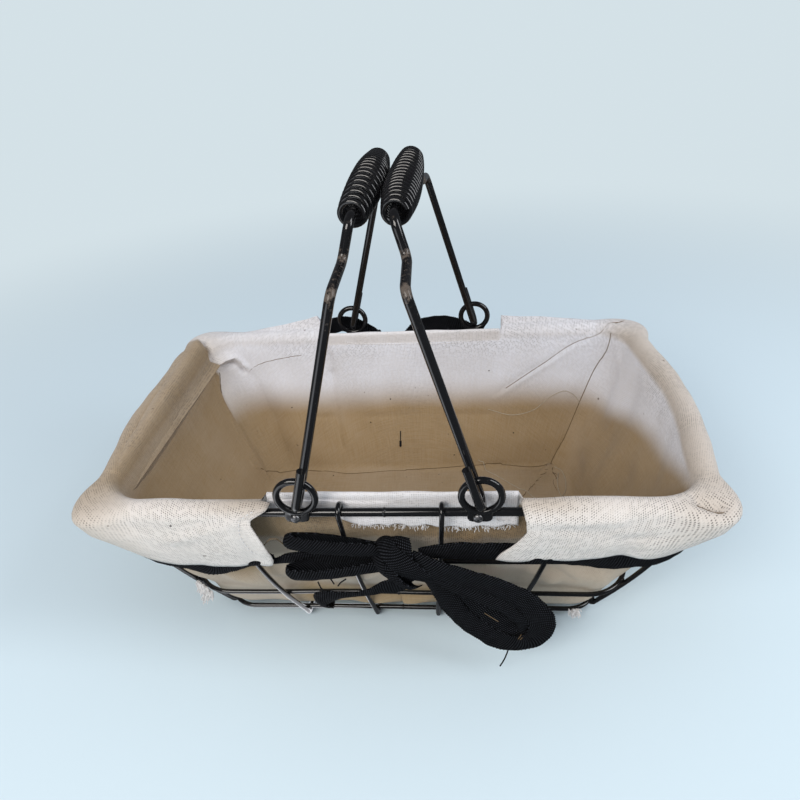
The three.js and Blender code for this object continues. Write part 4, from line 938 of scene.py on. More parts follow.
# Creases and tucks. The cloth is bunched at the rear left corner and creased
# from having been folded. Each line is a ridge, or a valley if it is negative:
# [height, width, places], all in mm.
CREASES = [
    # the tuck at the rear left corner: the crown's fold, the two rolled lips and their shadows
    (-4.2, 2.6, [(-170, 91.5, 129), (-167.1, 86.2, 127.5), (-164, 84, 121.5), (-162.5, 81.5, 112)]),
    (2.6, 3.2, [(-174, 87, 128), (-171, 80, 127.5), (-166, 76.5, 120)]),
    (-6, 3, [(159.6, -106.6, 127.5), (164.7, -109.5, 126.7), (169.5, -110.2, 125.9)]),
    (6, 2.4, [(-163, 80, 111.2), (-157.6, 90.9, 111.2), (-150.3, 97.2, 110.3), (-145.5, 99, 106.8),
              (-142, 98.5, 101)]),
    (-5.2, 2.2, [(-161.2, 82, 106), (-155.5, 91.5, 106.2), (-150, 96.2, 105.2), (-146.5, 97.5, 101.8),
                 (-143.6, 97, 97.5)]),
    (5.6, 2.6, [(-162.8, 80, 110.2), (-164.6, 71.2, 111), (-165.5, 64, 112.5)]),
    (-5, 2.4, [(-162.2, 78, 105.5), (-163.7, 71.2, 105.8), (-165, 63, 108)]),
    (2.2, 5, [(-165.4, 60.8, 112.5), (-168.4, 38, 113.2), (-170.3, 16.1, 113.1), (-171.3, -3.9, 111.1)]),
    # the seams down both rear corners and round the floor
    (-1.2, 1.5, [(-160.2, 83.6, 102.7), (-158.5, 75.9, 91.9), (-152.8, 63.8, 73.6), (-144.5, 53.7, 54.2),
                 (-135, 45.2, 35.1)]),
    (-1.2, 1.5, [(159.7, 104.2, 127.5), (155.9, 94.6, 112), (144.9, 93.5, 93.8), (135.1, 88, 69),
                 (121.3, 79.9, 34.9), (110.8, 72.1, 14)]),
    (-1.2, 1.8, [(-134.1, 47, 33.5), (-118, 64, 15), (-103.7, 70.8, 11.3), (-58.9, 66, 11.3), (-16.1, 69.5, 11.3),
                 (18, 71.7, 11.3), (68.7, 72.9, 13), (95.3, 71.8, 11.3), (108.4, 72.1, 13)]),
    # creases of the folded cloth on the rear wall
    (-1.1, 1.8, [(162.2, 105.8, 127.5), (128.6, 99, 113.8), (98.1, 96.7, 92.5), (66, 92.6, 71.2)]),
    (1.1, 2.2, [(160, 103, 123.5), (127.2, 99, 110.5), (96.8, 96.7, 89), (65, 92.6, 68)]),
    (1.2, 2.2, [(-141.6, 97.2, 96.3), (-128.1, 99.9, 103.1), (-110.3, 100.3, 107.1), (-92.8, 100, 109.5)]),
    (-1, 1.6, [(-93.5, 88, 55), (-61.3, 87.2, 54.8), (-5.8, 87.8, 55.3), (60, 88, 54.5)]),
    (-1.7, 2.6, [(-69.2, 96.9, 93.5), (-69.2, 92.3, 73.8), (-67.5, 86.6, 52.3), (-65.6, 78.4, 28.8)]),
    (-0.7, 2.6, [(-6, 87, 58), (-5, 80, 30)]),
    # soft folds of the end walls
    (1.3, 3.5, [(-160, -60, 115), (-148, -30, 70), (-134, -10, 30)]),
    (1, 3, [(-163, 50, 90), (-152, 20, 60), (-145, -10, 50)]),
    (1.2, 3.5, [(165, -80, 115), (150, -40, 70), (134, 10, 30)]),
    (1.1, 3, [(158, 85, 108), (150, 40, 75), (146, -10, 60)]),
    # the floor: a tuck at the rear right corner and soft folds
    (3, 3, [(109.1, 70.2, 11.3), (96.7, 51.9, 11.3), (83, 32, 11.3)]),
    (-1.6, 2.2, [(109.5, 64, 11.3), (100, 50, 11.3), (88, 32, 11.3)]),
    (2, 2.6, [(109.1, 70.2, 11.3), (111, 51.8, 11.3), (108, 30, 11.3)]),
    (1, 3, [(-90, 50, 11), (-20, 15, 11), (60, 35, 11)]),
    # the cuffs
    (-1.2, 3, [(90, -112, 115), (125, -113, 108), (150, -115, 112)]),
    (1.3, 3, [(-85, -112, 118), (-105, -113, 112), (-125, -114, 106)]),
    (1.4, 2.8, [(70, -113, 119.5), (90, -113.5, 118.5), (120, -114, 120)]),
    # the front wall, seen through the wires, where outwards is against the normals
    (-3.4, 5.5, [(42, -99, 88), (68, -94, 68), (90, -88, 48)]),
    (2.2, 4, [(52, -99, 90), (78, -95, 72), (102, -89, 52)]),
    (-3, 5, [(-123, -96, 70), (-100, -90, 50), (-75, -83, 32)]),
    (2, 4, [(-115, -97, 74), (-88, -91, 56), (-60, -84, 38)]),
    (-2.6, 5, [(-60, -93, 64), (-20, -92, 58), (20, -92, 62)]),
    (-2.4, 4.5, [(-50, -81, 26), (0, -80, 22), (50, -81, 27)]),
    (-2.2, 4.5, [(115, -96, 76), (122, -90, 50), (115, -83, 28)]),
]


def distance_to_line(points, line):
    """How far each point lies from a run of straight pieces."""
    least = np.full(len(points), np.inf)
    for start, end in zip(line[:-1], line[1:]):
        way = end - start
        share = np.clip((points - start) @ way / (way @ way), 0, 1)
        least = np.minimum(least, np.linalg.norm(points - start - share[:, None] * way, axis=1))
    return least


normals = np.array([v.normal[:] for v in cloth.vertices])
moved = flat_points.copy()
for height, width, line in CREASES:
    far = distance_to_line(flat_points, np.array(line) * MM) / (width * MM)
    moved += normals * (height * MM * np.exp(-far ** 2))[:, None]
on_cuff = np.arange(len(grid))[:, None] >= WALL_ROWS + ROLL_ROWS
hem_band = (on_cuff & on_long_side & (np.sign(rim_line[:, 0] * rim_line[:, 1]) > 0)
            ) * (1 - smooth(np.abs(rim_line[:, 0]) - OPENING, 0.0075, 0.0105))
moved += normals * (0.0009 * hem_band.reshape(-1, 1))
crumple = (np.sin(flat_points @ (61, 83, 47) + 1.7) * np.sin(flat_points @ (-74, 52, 95) + 0.4)
           + 0.6 * np.sin(flat_points @ (131, -117, 88)) * np.sin(flat_points @ (97, 141, -66)))
moved += normals * (0.00035 * crumple)[:, None]
cloth.vertices.foreach_set("co", moved.astype(np.float32).ravel())
cloth.update()

# The linen's tone, mostly painted light and shade. The tan share is painted
# shade: the floor, the lower walls, the left end and the cuffs' tops go tan where
# shade falls, and pale where light falls on them or shows through. The cool share
# is a painted bluish cast of light through the cloth. At the rear left corner the
# painted shade changes sharply at the seam.
tan, loose, cool = (np.zeros(grid.shape[:2]) for _ in range(3))
LEFT_SEAM = ([0.0351, 0.0542, 0.0736, 0.0919, 0.1027, 0.1120, 0.1240],
             [0.0452, 0.0537, 0.0638, 0.0759, 0.0820, 0.0815, 0.0790])
for r in range(len(grid)):
    height = grid[r, :, 2]
    if r < FLOOR_ROWS:
        # Painted shade: the floor is tan all over.
        tan[r], loose[r] = 0.95, 0.15
    elif r < WALL_ROWS:
        x, y = grid[r, :, 0], grid[r, :, 1]
        # Painted shade on the lower rear wall; pale above, where light shows through the cuff behind.
        rear = 0.97 * (1 - smooth(height + 0.0010 * np.sin(x * 60), 0.056, 0.090)) + 0.03
        # Painted shade on the left end wall, a little less at the top.
        left = 1.0 - 0.15 * smooth(height, 0.095, 0.118)
        # The right end wall: pale with painted light above this line, painted shade below it.
        turns_pale = np.interp(y, [-0.100, -0.082, -0.030, -0.002, 0.022, 0.067, 0.089],
                               [0.127, 0.120, 0.099, 0.094, 0.0887, 0.070, 0.068])
        right_end = 0.90 * (1 - smooth(height, turns_pale - 0.010, turns_pale + 0.010)) + 0.10
        # The front wall in painted shade, more in a band under the rim and at the bottom middle, with one painted
        # darker and one painted lighter patch.
        front = (0.66 + 0.30 * smooth(height, 0.090, 0.094) * (1 - smooth(np.abs(x), 0.080, 0.095))
                 + 0.34 * (1 - smooth(height, 0.030, 0.044)) * (1 - smooth(np.abs(x + 0.015), 0.045, 0.065))
                 + 0.35 * np.exp(-((x + 0.096) / 0.012) ** 2 - ((height - 0.068) / 0.012) ** 2)
                 - 0.35 * np.exp(-((x - 0.072) / 0.018) ** 2 - ((height - 0.075) / 0.010) ** 2))
        tan[r] = (rear * rear_side ** 2 + left * left_side ** 2 + right_end * right_side ** 2
                  + front * front_side ** 2)
        # The painted shade steps across the seam at the rear left corner.
        past_seam = smooth(y - np.interp(height, *LEFT_SEAM), -0.0012, 0.0012) * smooth(rear_side, 0.0, 0.12)
        tan[r] = np.where((x < -0.10) & (y > 0.030), rear * past_seam + left * (1 - past_seam), tan[r])
        loose[r] = 0.2 + 0.4 * smooth(height, 0.100, 0.118) + 0.6 * front_side * smooth(height, 0.084, 0.092)
        # A painted bluish cast of light through the rear wall and the right end.
        cool[r] = np.clip(rear_side ** 2 + 0.8 * right_side ** 2, 0, 1)
    else:
        outside = smooth(r, WALL_ROWS, WALL_ROWS + 20)
        # The cuffs: painted shade on their tops, most on the left end, less where they turn down outside.
        crown = 0.06 * front_side + 0.10 * rear_side + 0.95 * left_side + 0.42 * right_side
        turn = np.interp(height, [0.1110, 0.1215, 0.1275, 0.1290], [0.0815, 0.0849, 0.0880, 0.0920])
        turn = turn if r < WALL_ROWS + 8 else 0.0935
        past_seam = smooth(grid[r, :, 1] - turn, -0.0012, 0.0012) * (grid[r, :, 0] < -0.12)
        crown = np.where(past_seam > 0, 0.12 + 0.83 * (1 - past_seam), crown)
        on_top = smooth(r, WALL_ROWS + 2, WALL_ROWS + 5) * (1 - smooth(r, WALL_ROWS + 9, WALL_ROWS + 15))
        # More painted shade on the tops of the front cuffs near the openings.
        crown = crown + 0.50 * on_top * front_side * np.exp(-((np.abs(rim_line[:, 0]) - 0.080) / 0.026) ** 2)
        # Between the cuffs the hem is painted pale, with some of the painted bluish cast.
        tan[r] = np.where(in_opening, 0.03, crown * (1 - 0.45 * outside))
        loose[r] = np.where(in_opening, 0.3, 0.6 + 0.4 * outside)
        cool[r] = np.where(in_opening, 0.5, 0.8 * rear_side ** 2)
for name, values in (("tan", tan), ("loose", loose), ("cool", cool)):
    cloth.attributes.new(name, "FLOAT", "POINT").data.foreach_set("value", values.astype(np.float32).ravel())


def linen_finish(name, pitch=0.00118):
    """Plain weave of uneven linen thread, drawn along the cloth's own threads."""
    finish = Finish(name, Roughness=0.92, Specular_IOR_Level=0.12, Sheen_Weight=0.1, Sheen_Roughness=0.6)
    chart = finish.node("ShaderNodeUVMap", uv_map="weave")
    threads = finish.vector("ADD", chart, finish.centred(finish.noise(chart, 38.0, 3.0, output="Color"), 0.0030))
    u, v = (finish.node("ShaderNodeSeparateXYZ", {0: threads}, output=axis) for axis in "XY")
    warp_wave, weft_wave = (u * (math.pi / pitch)).sine(), (v * (math.pi / pitch)).sine()
    along_warp = finish.node("ShaderNodeCombineXYZ", {"X": u * 900.0, "Y": v * 55.0})
    along_weft = finish.node("ShaderNodeCombineXYZ", {"X": u * 55.0, "Y": v * 900.0})
    warp_slub, weft_slub = finish.noise(along_warp, 1.0, 2.0), finish.noise(along_weft, 1.0, 2.0)
    over = warp_wave * weft_wave
    warp = warp_wave.size() * (0.72 + over * 0.22 + warp_slub * 0.30)
    weft = weft_wave.size() * (0.72 - over * 0.22 + weft_slub * 0.30)
    weave = warp.highest(weft)
    loose, tan, cool = (finish.node("ShaderNodeAttribute", output="Fac", attribute_name=name)
                        for name in ("loose", "tan", "cool"))
    place = finish.coordinates()
    patch = finish.noise(place, 24.0, 2.0)
    open_here = finish.noise(threads, 420.0, 0.0).above(0.40, 0.55)
    hole = (1.0 - weave).above(0.26, 0.56) * (loose * (0.35 + patch.above(0.30, 0.70) * 1.5)).lowest(1.0)
    hole = hole * (0.15 + open_here * 0.85)
    # The tan attribute blends in painted shade, and the cool attribute a painted bluish cast of light through the
    # cloth; the stain noise varies the tone at random.
    stain = finish.noise(place, 11.0, 4.0, 0.6)
    share = (tan + (stain - 0.5) * 0.34).highest(0.0).lowest(1.0)
    pale = finish.blend(cool, (0.715, 0.675, 0.645, 1), (0.755, 0.775, 0.845, 1))
    colour = finish.blend(share, pale, (0.290, 0.197, 0.098, 1))
    thread_tone = (warp_slub + weft_slub) * 0.5
    colour = finish.blend((thread_tone - 0.30).highest(0.0) * 0.55, colour, (0.50, 0.43, 0.34, 1))
    colour = finish.blend(hole * 0.85, colour, (0.085, 0.075, 0.065, 1))
    speck = finish.noise(place, 260.0, 1.0).above(0.78, 0.83)
    colour = finish.blend(speck * 0.8, colour, (0.10, 0.07, 0.045, 1))
    finish.set(Base_Color=colour)
    finish.bump(weave * (0.4 + loose * 0.6) + finish.noise(chart, 700.0, 2.0) * 0.2, 0.55, 0.0005)
    return finish


LINEN = linen_finish("open_weave_linen")
cloth.materials.append(LINEN.material)
shade_by_angle(cloth, 60)
liner = put("linen_liner", cloth)
thicken = liner.modifiers.new("cloth_thickness", "SOLIDIFY")
thicken.thickness = CLOTH_THICK
thicken.offset = 0
belongs(liner, "basket", "linen", "liner_bag", "liner_floor", "liner_cuff_left", "liner_cuff_right")

# Tape ties. Black cotton twill tape, 14 mm wide, goes round each end outside
# the ribs, half under the cuff's hem, and is folded where it is drawn tight.
TAPE_THICK, TAPE_WIDTH, TAPE_STEP = 0.0010, 0.0140, 0.0015
EDGE_NUB = (0.00062, 0.00034, 0.00042)
ACROSS = np.array([-1, -0.92, -0.66, -0.33, 0, 0.33, 0.66, 0.92, 1])
OCTAHEDRON = [(0, 4, 2), (0, 3, 4), (0, 5, 3), (0, 2, 5), (1, 2, 4), (1, 4, 3), (1, 3, 5), (1, 5, 2)]
TAPE_LEVEL = ([-0.165, -0.150, -0.143, -0.133, -0.129, -0.121, -0.111, -0.097, -0.085,
               0.083, 0.097, 0.108, 0.120, 0.130, 0.143, 0.155, 0.165],
              [0.0950, 0.0920, 0.0880, 0.0845, 0.0840, 0.0785, 0.0815, 0.0860, 0.0865,
               0.0930, 0.0920, 0.0914, 0.0888, 0.0876, 0.0895, 0.0905, 0.0930])


def smoothed(rows, step):
    """Rows of values that begin with a place, at even steps on a smooth line."""
    rows = np.array(rows, float)
    chord = np.concatenate([[0], np.cumsum(np.linalg.norm(np.diff(rows[:, :3], axis=0), axis=1))])
    slope = np.gradient(rows, chord, axis=0)
    places = np.linspace(0, chord[-1], max(6, round(chord[-1] / step)))
    after = np.clip(np.searchsorted(chord, places, side="right"), 1, len(chord) - 1)
    span = (chord[after] - chord[after - 1])[:, None]
    t = (places - chord[after - 1])[:, None] / span
    return ((2 * t ** 3 - 3 * t ** 2 + 1) * rows[after - 1] + (t ** 3 - 2 * t ** 2 + t) * span * slope[after - 1]
            + (3 * t ** 2 - 2 * t ** 3) * rows[after] + (t ** 3 - t ** 2) * span * slope[after])


def unit(vectors):
    return vectors / np.linalg.norm(vectors, axis=-1, keepdims=True)


def tape_frame(rows):
    """Line, way along, way the tape faces and way across it, of rows of
    [x, y, z, width, tilt in degrees, and the way it would face untilted]."""
    line = smoothed(rows, TAPE_STEP)
    along = unit(np.gradient(line[:, :3], axis=0))
    facing = line[:, 5:8]
    facing = unit(facing - (facing * along).sum(1)[:, None] * along)
    tilt = np.radians(line[:, 4])[:, None]
    facing = np.cos(tilt) * facing + np.sin(tilt) * np.cross(along, facing)
    return line, along, facing, np.cross(along, facing)


def tape_piece(name, bands, finish):
    """A mesh of lengths of tape. Where a length is narrower than the tape, it
    is curled along its middle by as much as the width asks. Small nubs along
    both edges stand for the turns of the weft."""
    points, faces, chart = [], [], []
    side = np.repeat([1.0, -1.0], len(ACROSS))
    across = np.concatenate([ACROSS, ACROSS[::-1]])
    count = len(across)
    for number, rows in enumerate(bands):
        line, along, facing, broad = tape_frame(rows)
        run = np.arange(len(line)) * TAPE_STEP
        width = line[:, 3] * (1 + 0.03 * np.sin(run * 310 + number) + 0.02 * np.sin(run * 830 + 2 * number))
        curl = 0.35 * np.sqrt(np.maximum(3 * width * (TAPE_WIDTH - width) / 8, 0)) + 0.0004
        edge = np.sqrt(1 - 0.75 * across ** 8) * TAPE_THICK / 2 * side
        off = curl[:, None] * (1 - across ** 2) + edge + 0.00018 * np.sin(run * 520 + 3 * number)[:, None] * across
        place = (line[:, None, :3] + broad[:, None] * (width[:, None] / 2 * across)[..., None]
                 + facing[:, None] * off[..., None])
        first, shift = len(points), 0.037 * number
        points.extend(place.reshape(-1, 3))
        for quad in quads(len(line), count):
            faces.append(tuple(first + p for p in quad))
            chart.extend((run[p // count] + shift, across[p % count] * TAPE_WIDTH / 2) for p in quad)
        faces.extend([tuple(reversed(range(first, first + count))), tuple(range(len(points) - count, len(points)))])
        chart.extend((shift + 0.3 * TAPE_THICK * j, 0.0) for j in range(2 * count))
        for hand in (-1, 1):
            for i in range(1, len(line) - 1):
                middle = line[i, :3] + broad[i] * hand * (width[i] / 2 + 0.0001)
                first = len(points)
                points.extend(middle + sign * size * ways[i]
                              for ways, size in zip((along, broad, facing), EDGE_NUB) for sign in (1, -1))
                faces.extend(tuple(first + p for p in face) for face in OCTAHEDRON)
                chart.extend([(run[i] + shift, TAPE_WIDTH / 2)] * 24)
    mesh = mesh_of(name, points, faces)
    chart_weave(mesh, chart)
    mesh.materials.append(finish.material)
    shade_by_angle(mesh, 60)
    return put(name, mesh)


def twill_finish(name):
    """Black cotton twill. Its ribs run slantwise, and the tops of the threads
    carry a painted grey sheen in rows of dots."""
    finish = Finish(name, Specular_IOR_Level=0.06)
    chart = finish.node("ShaderNodeUVMap", uv_map="weave")
    u, v = (finish.node("ShaderNodeSeparateXYZ", {0: chart}, output=axis) for axis in "XY")
    wander = finish.noise(chart, 120.0, 2.0) * 0.0006
    ribs = ((u + v * 0.45 + wander) * (math.pi / 0.00155)).sine().size()
    threads = ((v - u * 0.22 + wander) * (math.pi / 0.00105)).sine().size()
    weave = ribs * threads
    # Painted sheen: the tops of the threads are coloured grey in rows of dots.
    painted_sheen = weave.above(0.45, 0.95) * (0.35 + finish.noise(chart, 260.0, 2.0) * 0.9)
    colour = finish.blend(painted_sheen, (0.0008, 0.0009, 0.0012, 1), (0.042, 0.045, 0.053, 1))
    fuzz = finish.noise(chart, 1900.0, 2.0)
    finish.set(Base_Color=colour, Roughness=0.72 + fuzz * 0.2)
    finish.bump(weave + fuzz * 0.25, 0.8, 0.0005)
    return finish


TWILL = twill_finish("black_twill")
FRONT, REAR = (0, -1, 0), (0, 1, 0)


def tape_rows(rows, facing):
    """[x, y, z, width in mm, tilt] rows as lengths in metres, facing one way."""
    return [(x * MM, y * MM, z * MM, width * MM, tilt, *facing) for x, y, z, width, tilt in rows]


def round_knot(rows, middle):
    """The same for rows that go round a knot and face away from its middle."""
    return [(x * MM, y * MM, z * MM, width * MM, tilt, 0.3 * (x - middle[0]), y - middle[1], z - middle[2])
            for x, y, z, width, tilt in rows]


def looped(start, far, opening, width, tilt, front):
    """Rows of a loop that leaves the knot, turns at its far end and comes back
    behind itself. Its two runs stand apart by twice the opening."""
    start, far, front = np.array(start) * MM, np.array(far) * MM, np.array(front, float)
    reach = np.linalg.norm(far - start)
    along = unit(far - start)
    front = unit(front - (front @ along) * along)
    rows = []
    for angle in np.linspace(0.16 * math.pi, 1.84 * math.pi, 17):
        swell = math.sin(angle) * (1.1 - 0.6 * math.cos(angle))
        place = start + along * reach * (0.5 - 0.5 * math.cos(angle)) + front * opening * MM * swell
        outward = -along * math.cos(angle) * opening * MM + front * math.sin(angle) * reach / 2
        rows.append((*place, width * MM * (0.86 + 0.14 * (0.5 - 0.5 * math.cos(angle))), tilt, *unit(outward)))
    return rows


def round_end(hand):
    """Rows of tape from the front knot round one end to the rear knot."""
    front = {1: [(14, -110.5, 94, 6, 0), (24, -109.5, 93.8, 10, 0), (34, -108.9, 93.6, 13.4, 4),
                 (44, -108.5, 93, 14, 6), (56, -107.9, 92.6, 12.5, 2), (70, -106.9, 91.6, 11, 0)],
             -1: [(-8, -111.5, 93.5, 6, 0), (-20, -110.2, 90.5, 8.6, 0), (-34, -109.3, 88.3, 11.8, 4),
                  (-48, -108.6, 87.2, 13, 6), (-60, -107.6, 86.2, 9.6, 10), (-72, -106.9, 84.2, 6, 16)]}[hand]
    rear = [(x, -y, z - 2, width, tilt) for x, y, z, width, tilt in front]
    reach = sorted(np.flatnonzero(hand * rim_line[:, 0] > 0.079),
                   key=lambda c: math.atan2(cloth_stations[c, 3] + rim_line[c, 1] * 6, hand * rim_line[c, 0]))
    rows = tape_rows(front, FRONT)
    for c in reach[::5]:
        across = rim_line[c, 1] / (RIM_WIDTH / 2)
        level = np.interp(rim_line[c, 0], *TAPE_LEVEL) + 0.0010 * math.sin(across * 9)
        width = 0.0125 + 0.0012 * math.sin(across * 7 + 1)
        if abs(rim_line[c, 0]) < 0.1 and hand < 0:
            width = 0.0088
        height = np.full(columns, level)
        x, y, z = wall_points(cloth_stations, height, rib_face(height) + 0.0014)[c]
        rows.append((x, y, z, width, 2 * math.sin(across * 11), cloth_stations[c, 2], cloth_stations[c, 3], 0.12))
    rows += tape_rows(reversed(rear), REAR)
    return rows if hand > 0 else [tuple(row) for row in reversed(rows)]


for hand_name, hand in (("left", -1), ("right", 1)):
    strap = tape_piece(f"tape_strap_{hand_name}", [round_end(hand)], TWILL)
    belongs(strap, "basket", "tape", f"ribbon_{hand_name}")

# Front bow. The straps are tied in one flat knot. Two short loops and a curled
# tail lie to the left, and one long doubled loop hangs down to the right.
KNOT_MIDDLE, REAR_MIDDLE = (3.5, -113.0, 90), (-3.5, 113.0, 88)
wraps = [
    # the turn round the knot, the crossed-over turn on its right and the one on its left
    [(2.6, -108.0, 101.5, 12, 0), (2.8, -112.5, 105.6, 14, 0), (3.4, -117.6, 103.8, 15.5, -4),
     (4.4, -120.4, 97, 16.5, -8), (5.0, -120.8, 90, 16.5, -8), (5.2, -119.4, 82.5, 15, -6),
     (4.8, -115.4, 77.0, 13, 0), (4.0, -110.4, 76.0, 12, 0)],
    [(-4.5, -109.5, 102.5, 9, 0), (-3.0, -114.5, 105.2, 10, 0), (-0.5, -119.6, 103.2, 10.5, 6),
     (6.0, -121.8, 96.6, 11.5, 10), (12.6, -120.8, 88.4, 12, 8), (18.0, -117.8, 82.0, 11, 4),
     (21, -114.0, 77.5, 10, 0)],
    [(-6.8, -109.5, 98.0, 8, 0), (-7.2, -114.5, 98.4, 9, 0), (-5.0, -119.6, 93.6, 10, 8),
     (0.8, -121.4, 85.6, 11, 12), (8.0, -119.6, 78.0, 10, 6), (12, -115.0, 74.8, 9, 0)],
]
short_loops = [looped((2, -114.4, 99.5), (-57.5, -114.6, 107.6), 2.9, 8.2, 14, FRONT),
               looped((4, -115.6, 91.5), (-59.5, -115.2, 82.8), 3.2, 9.6, -12, FRONT)]
front_tail = [(6, -114.5, 83, 10, 0), (3.5, -117.6, 78.2, 13, -10), (-4.5, -117.0, 73.2, 14, -16),
              (-14, -114.8, 67.6, 10.5, -30), (-24, -112.4, 63.6, 8.2, -38), (-34, -110.4, 59.8, 8.6, -20),
              (-42, -108.8, 56.2, 10.5, 0), (-48, -106.6, 50.4, 9.8, 24), (-46.5, -104.6, 45.2, 8.6, 50),
              (-40.6, -104.6, 44.6, 6.6, 70)]
long_loop = [(10, -115.5, 96.5, 9, 0), (18, -118.4, 92.8, 12.5, 0), (29.5, -119.6, 87.8, 14, 2),
             (44.4, -119.8, 82.2, 14.5, 4), (58.8, -119.8, 75.8, 15, 6), (72.2, -119.6, 66.2, 15.5, 4),
             (81.2, -119.2, 52.6, 15.2, 0), (82.0, -118.4, 38.8, 15.2, -6), (74.4, -117.8, 29.4, 15.4, -8),
             (61.6, -117.2, 28.2, 14.8, -4), (48.2, -116.6, 37.2, 13.8, 0), (36.2, -116.2, 50.6, 13.4, 0),
             (28.4, -115.6, 64.6, 12.4, 0), (22.2, -114.8, 77.0, 10.5, 0), (14, -113.6, 86, 9, 0)]
fold_back = [(14, -115.5, 88, 8, 0), (27, -117.2, 81.4, 10.5, -14), (42.0, -118.0, 73.8, 11.8, -18),
             (55.8, -118.2, 66.2, 12, -18), (67.6, -118.0, 56.4, 11.6, -20), (72.8, -117.6, 46.8, 10.4, -24),
             (71.4, -116.8, 40.6, 8.8, -40)]
inner_side = [(20, -114.6, 80, 9, 0), (33, -114.8, 67.5, 14, 0), (47, -115.4, 54.5, 18, 0),
              (60, -115.8, 43.5, 17, 0), (72, -116.6, 36.0, 15, 0), (77, -117, 33, 9, 0)]
bow_front = tape_piece("tape_bow_front", [round_knot(rows, KNOT_MIDDLE) for rows in wraps] + short_loops + [
    tape_rows(rows, FRONT) for rows in (front_tail, long_loop, fold_back, inner_side)], TWILL)

# Rear bow. Two loops stand up behind the hem, and two tails hang down.
REAR_KNOT = [
    [(-2.6, 108.0, 99.0, 12, 0), (-2.8, 112.5, 101.6, 14, 0), (-3.4, 117.2, 99.8, 15.5, -4),
     (-4.4, 119.6, 94, 16, -8), (-5.2, 119.8, 88, 16, -8), (-5.4, 118.4, 80.5, 14.5, -6), (-4.6, 114.6, 76.2, 13, 0),
     (-4.0, 110.4, 75.5, 12, 0)],
    [(4.5, 109.5, 99.5, 9, 0), (3.0, 114.0, 101.2, 10, 0), (-1.0, 118.6, 98.4, 11, 8), (-7.0, 120.2, 90.6, 11.5, 10),
     (-13, 118.4, 83.4, 11, 8), (-17.0, 114.2, 78.0, 10, 4)],
]
REAR_LOOPS = [
    [(-4, 116.4, 90, 9, 0), (-15, 118.6, 97.5, 11, 0), (-29, 119.6, 108.5, 12, 4), (-39.5, 119.8, 119.0, 12.6, 2),
     (-51.5, 119.8, 125.2, 13.4, 0), (-65, 119.8, 125.6, 13.4, 0), (-74.6, 119.6, 120.0, 13, -4),
     (-75, 118.6, 110, 13, -6), (-62, 117.0, 102.5, 12, 0), (-36, 115.6, 97, 11, 0), (-6, 113.6, 89.5, 9, 0)],
    [(-3, 116.4, 90, 9, 0), (-5, 118.4, 101, 11, 0), (-4.4, 119.6, 112.0, 12, 4), (2, 119.8, 119.8, 12.6, 2),
     (13, 119.8, 123.6, 13.2, 0), (28, 119.8, 123.4, 13.2, 0), (42, 119.6, 118.4, 12.6, -4),
     (50, 118.6, 110, 12.6, -6), (44, 117.0, 102.5, 12, 0), (26, 115.6, 98.6, 11, 0), (0, 113.6, 89.5, 9, 0)],
]
REAR_TAILS = [
    [(0, 115.5, 84, 9, 0), (9, 115.8, 77, 11.5, 6), (18, 113.0, 70, 12.5, 10), (29, 109.6, 63, 12, 4),
     (40, 107.4, 57, 11.5, 0)],
    [(-6, 115.5, 84, 9, 0), (-12, 115.0, 76, 11.5, -6), (-18, 111.8, 67.5, 12.5, -8), (-23, 107.6, 57, 12, -4),
     (-27, 104.8, 46, 11.5, 0)],
]
bow_rear = tape_piece("tape_bow_rear", [round_knot(rows, REAR_MIDDLE) for rows in REAR_KNOT] + [
    tape_rows(rows, REAR) for rows in (*REAR_LOOPS, *REAR_TAILS)], TWILL)
belongs(bow_rear, "basket", "tape", "bow_rear")
belongs(bow_front, "basket", "tape", "bow_front")

# Seams, crease shadows and stitches. Brown seam lines run down the rear corners
# and round the floor: real seams, drawn dark as painted shade along them. Dark
# brown lines along the fine creases are painted crease shadows. Pale stitches hold
# the hems. All of them are laid on the cloth's face.
cloth_face = BVHTree.FromPolygons(moved.tolist(), cloth_faces)
THREAD_STEP, STITCH_STEP = 0.0015, 0.0004


def on_cloth(places, lift, step=THREAD_STEP):
    """A smooth line through these places in mm, brought onto the cloth's face."""
    laid = []
    for place in smoothed([(x * MM, y * MM, z * MM, 0) for x, y, z in places], step)[:, :3]:
        near, normal, _, _ = cloth_face.find_nearest(Vector(place))
        laid.append(tuple(near + normal * (CLOTH_THICK / 2 + lift)))
    return laid


def thread_finish(name, colour):
    """Matt thread that is uneven in tone along its length."""
    finish = Finish(name, Roughness=0.88, Specular_IOR_Level=0.12)
    tone = finish.noise(finish.coordinates(), 450.0, 3.0)
    finish.set(Base_Color=finish.blend(tone, tuple(0.6 * c for c in colour[:3]) + (1,), colour))
    return finish


def thread_piece(name, lines, radius, finish, slot="linen"):
    belongs(wires(name, lines, radius, finish, sides=6), "basket", slot)


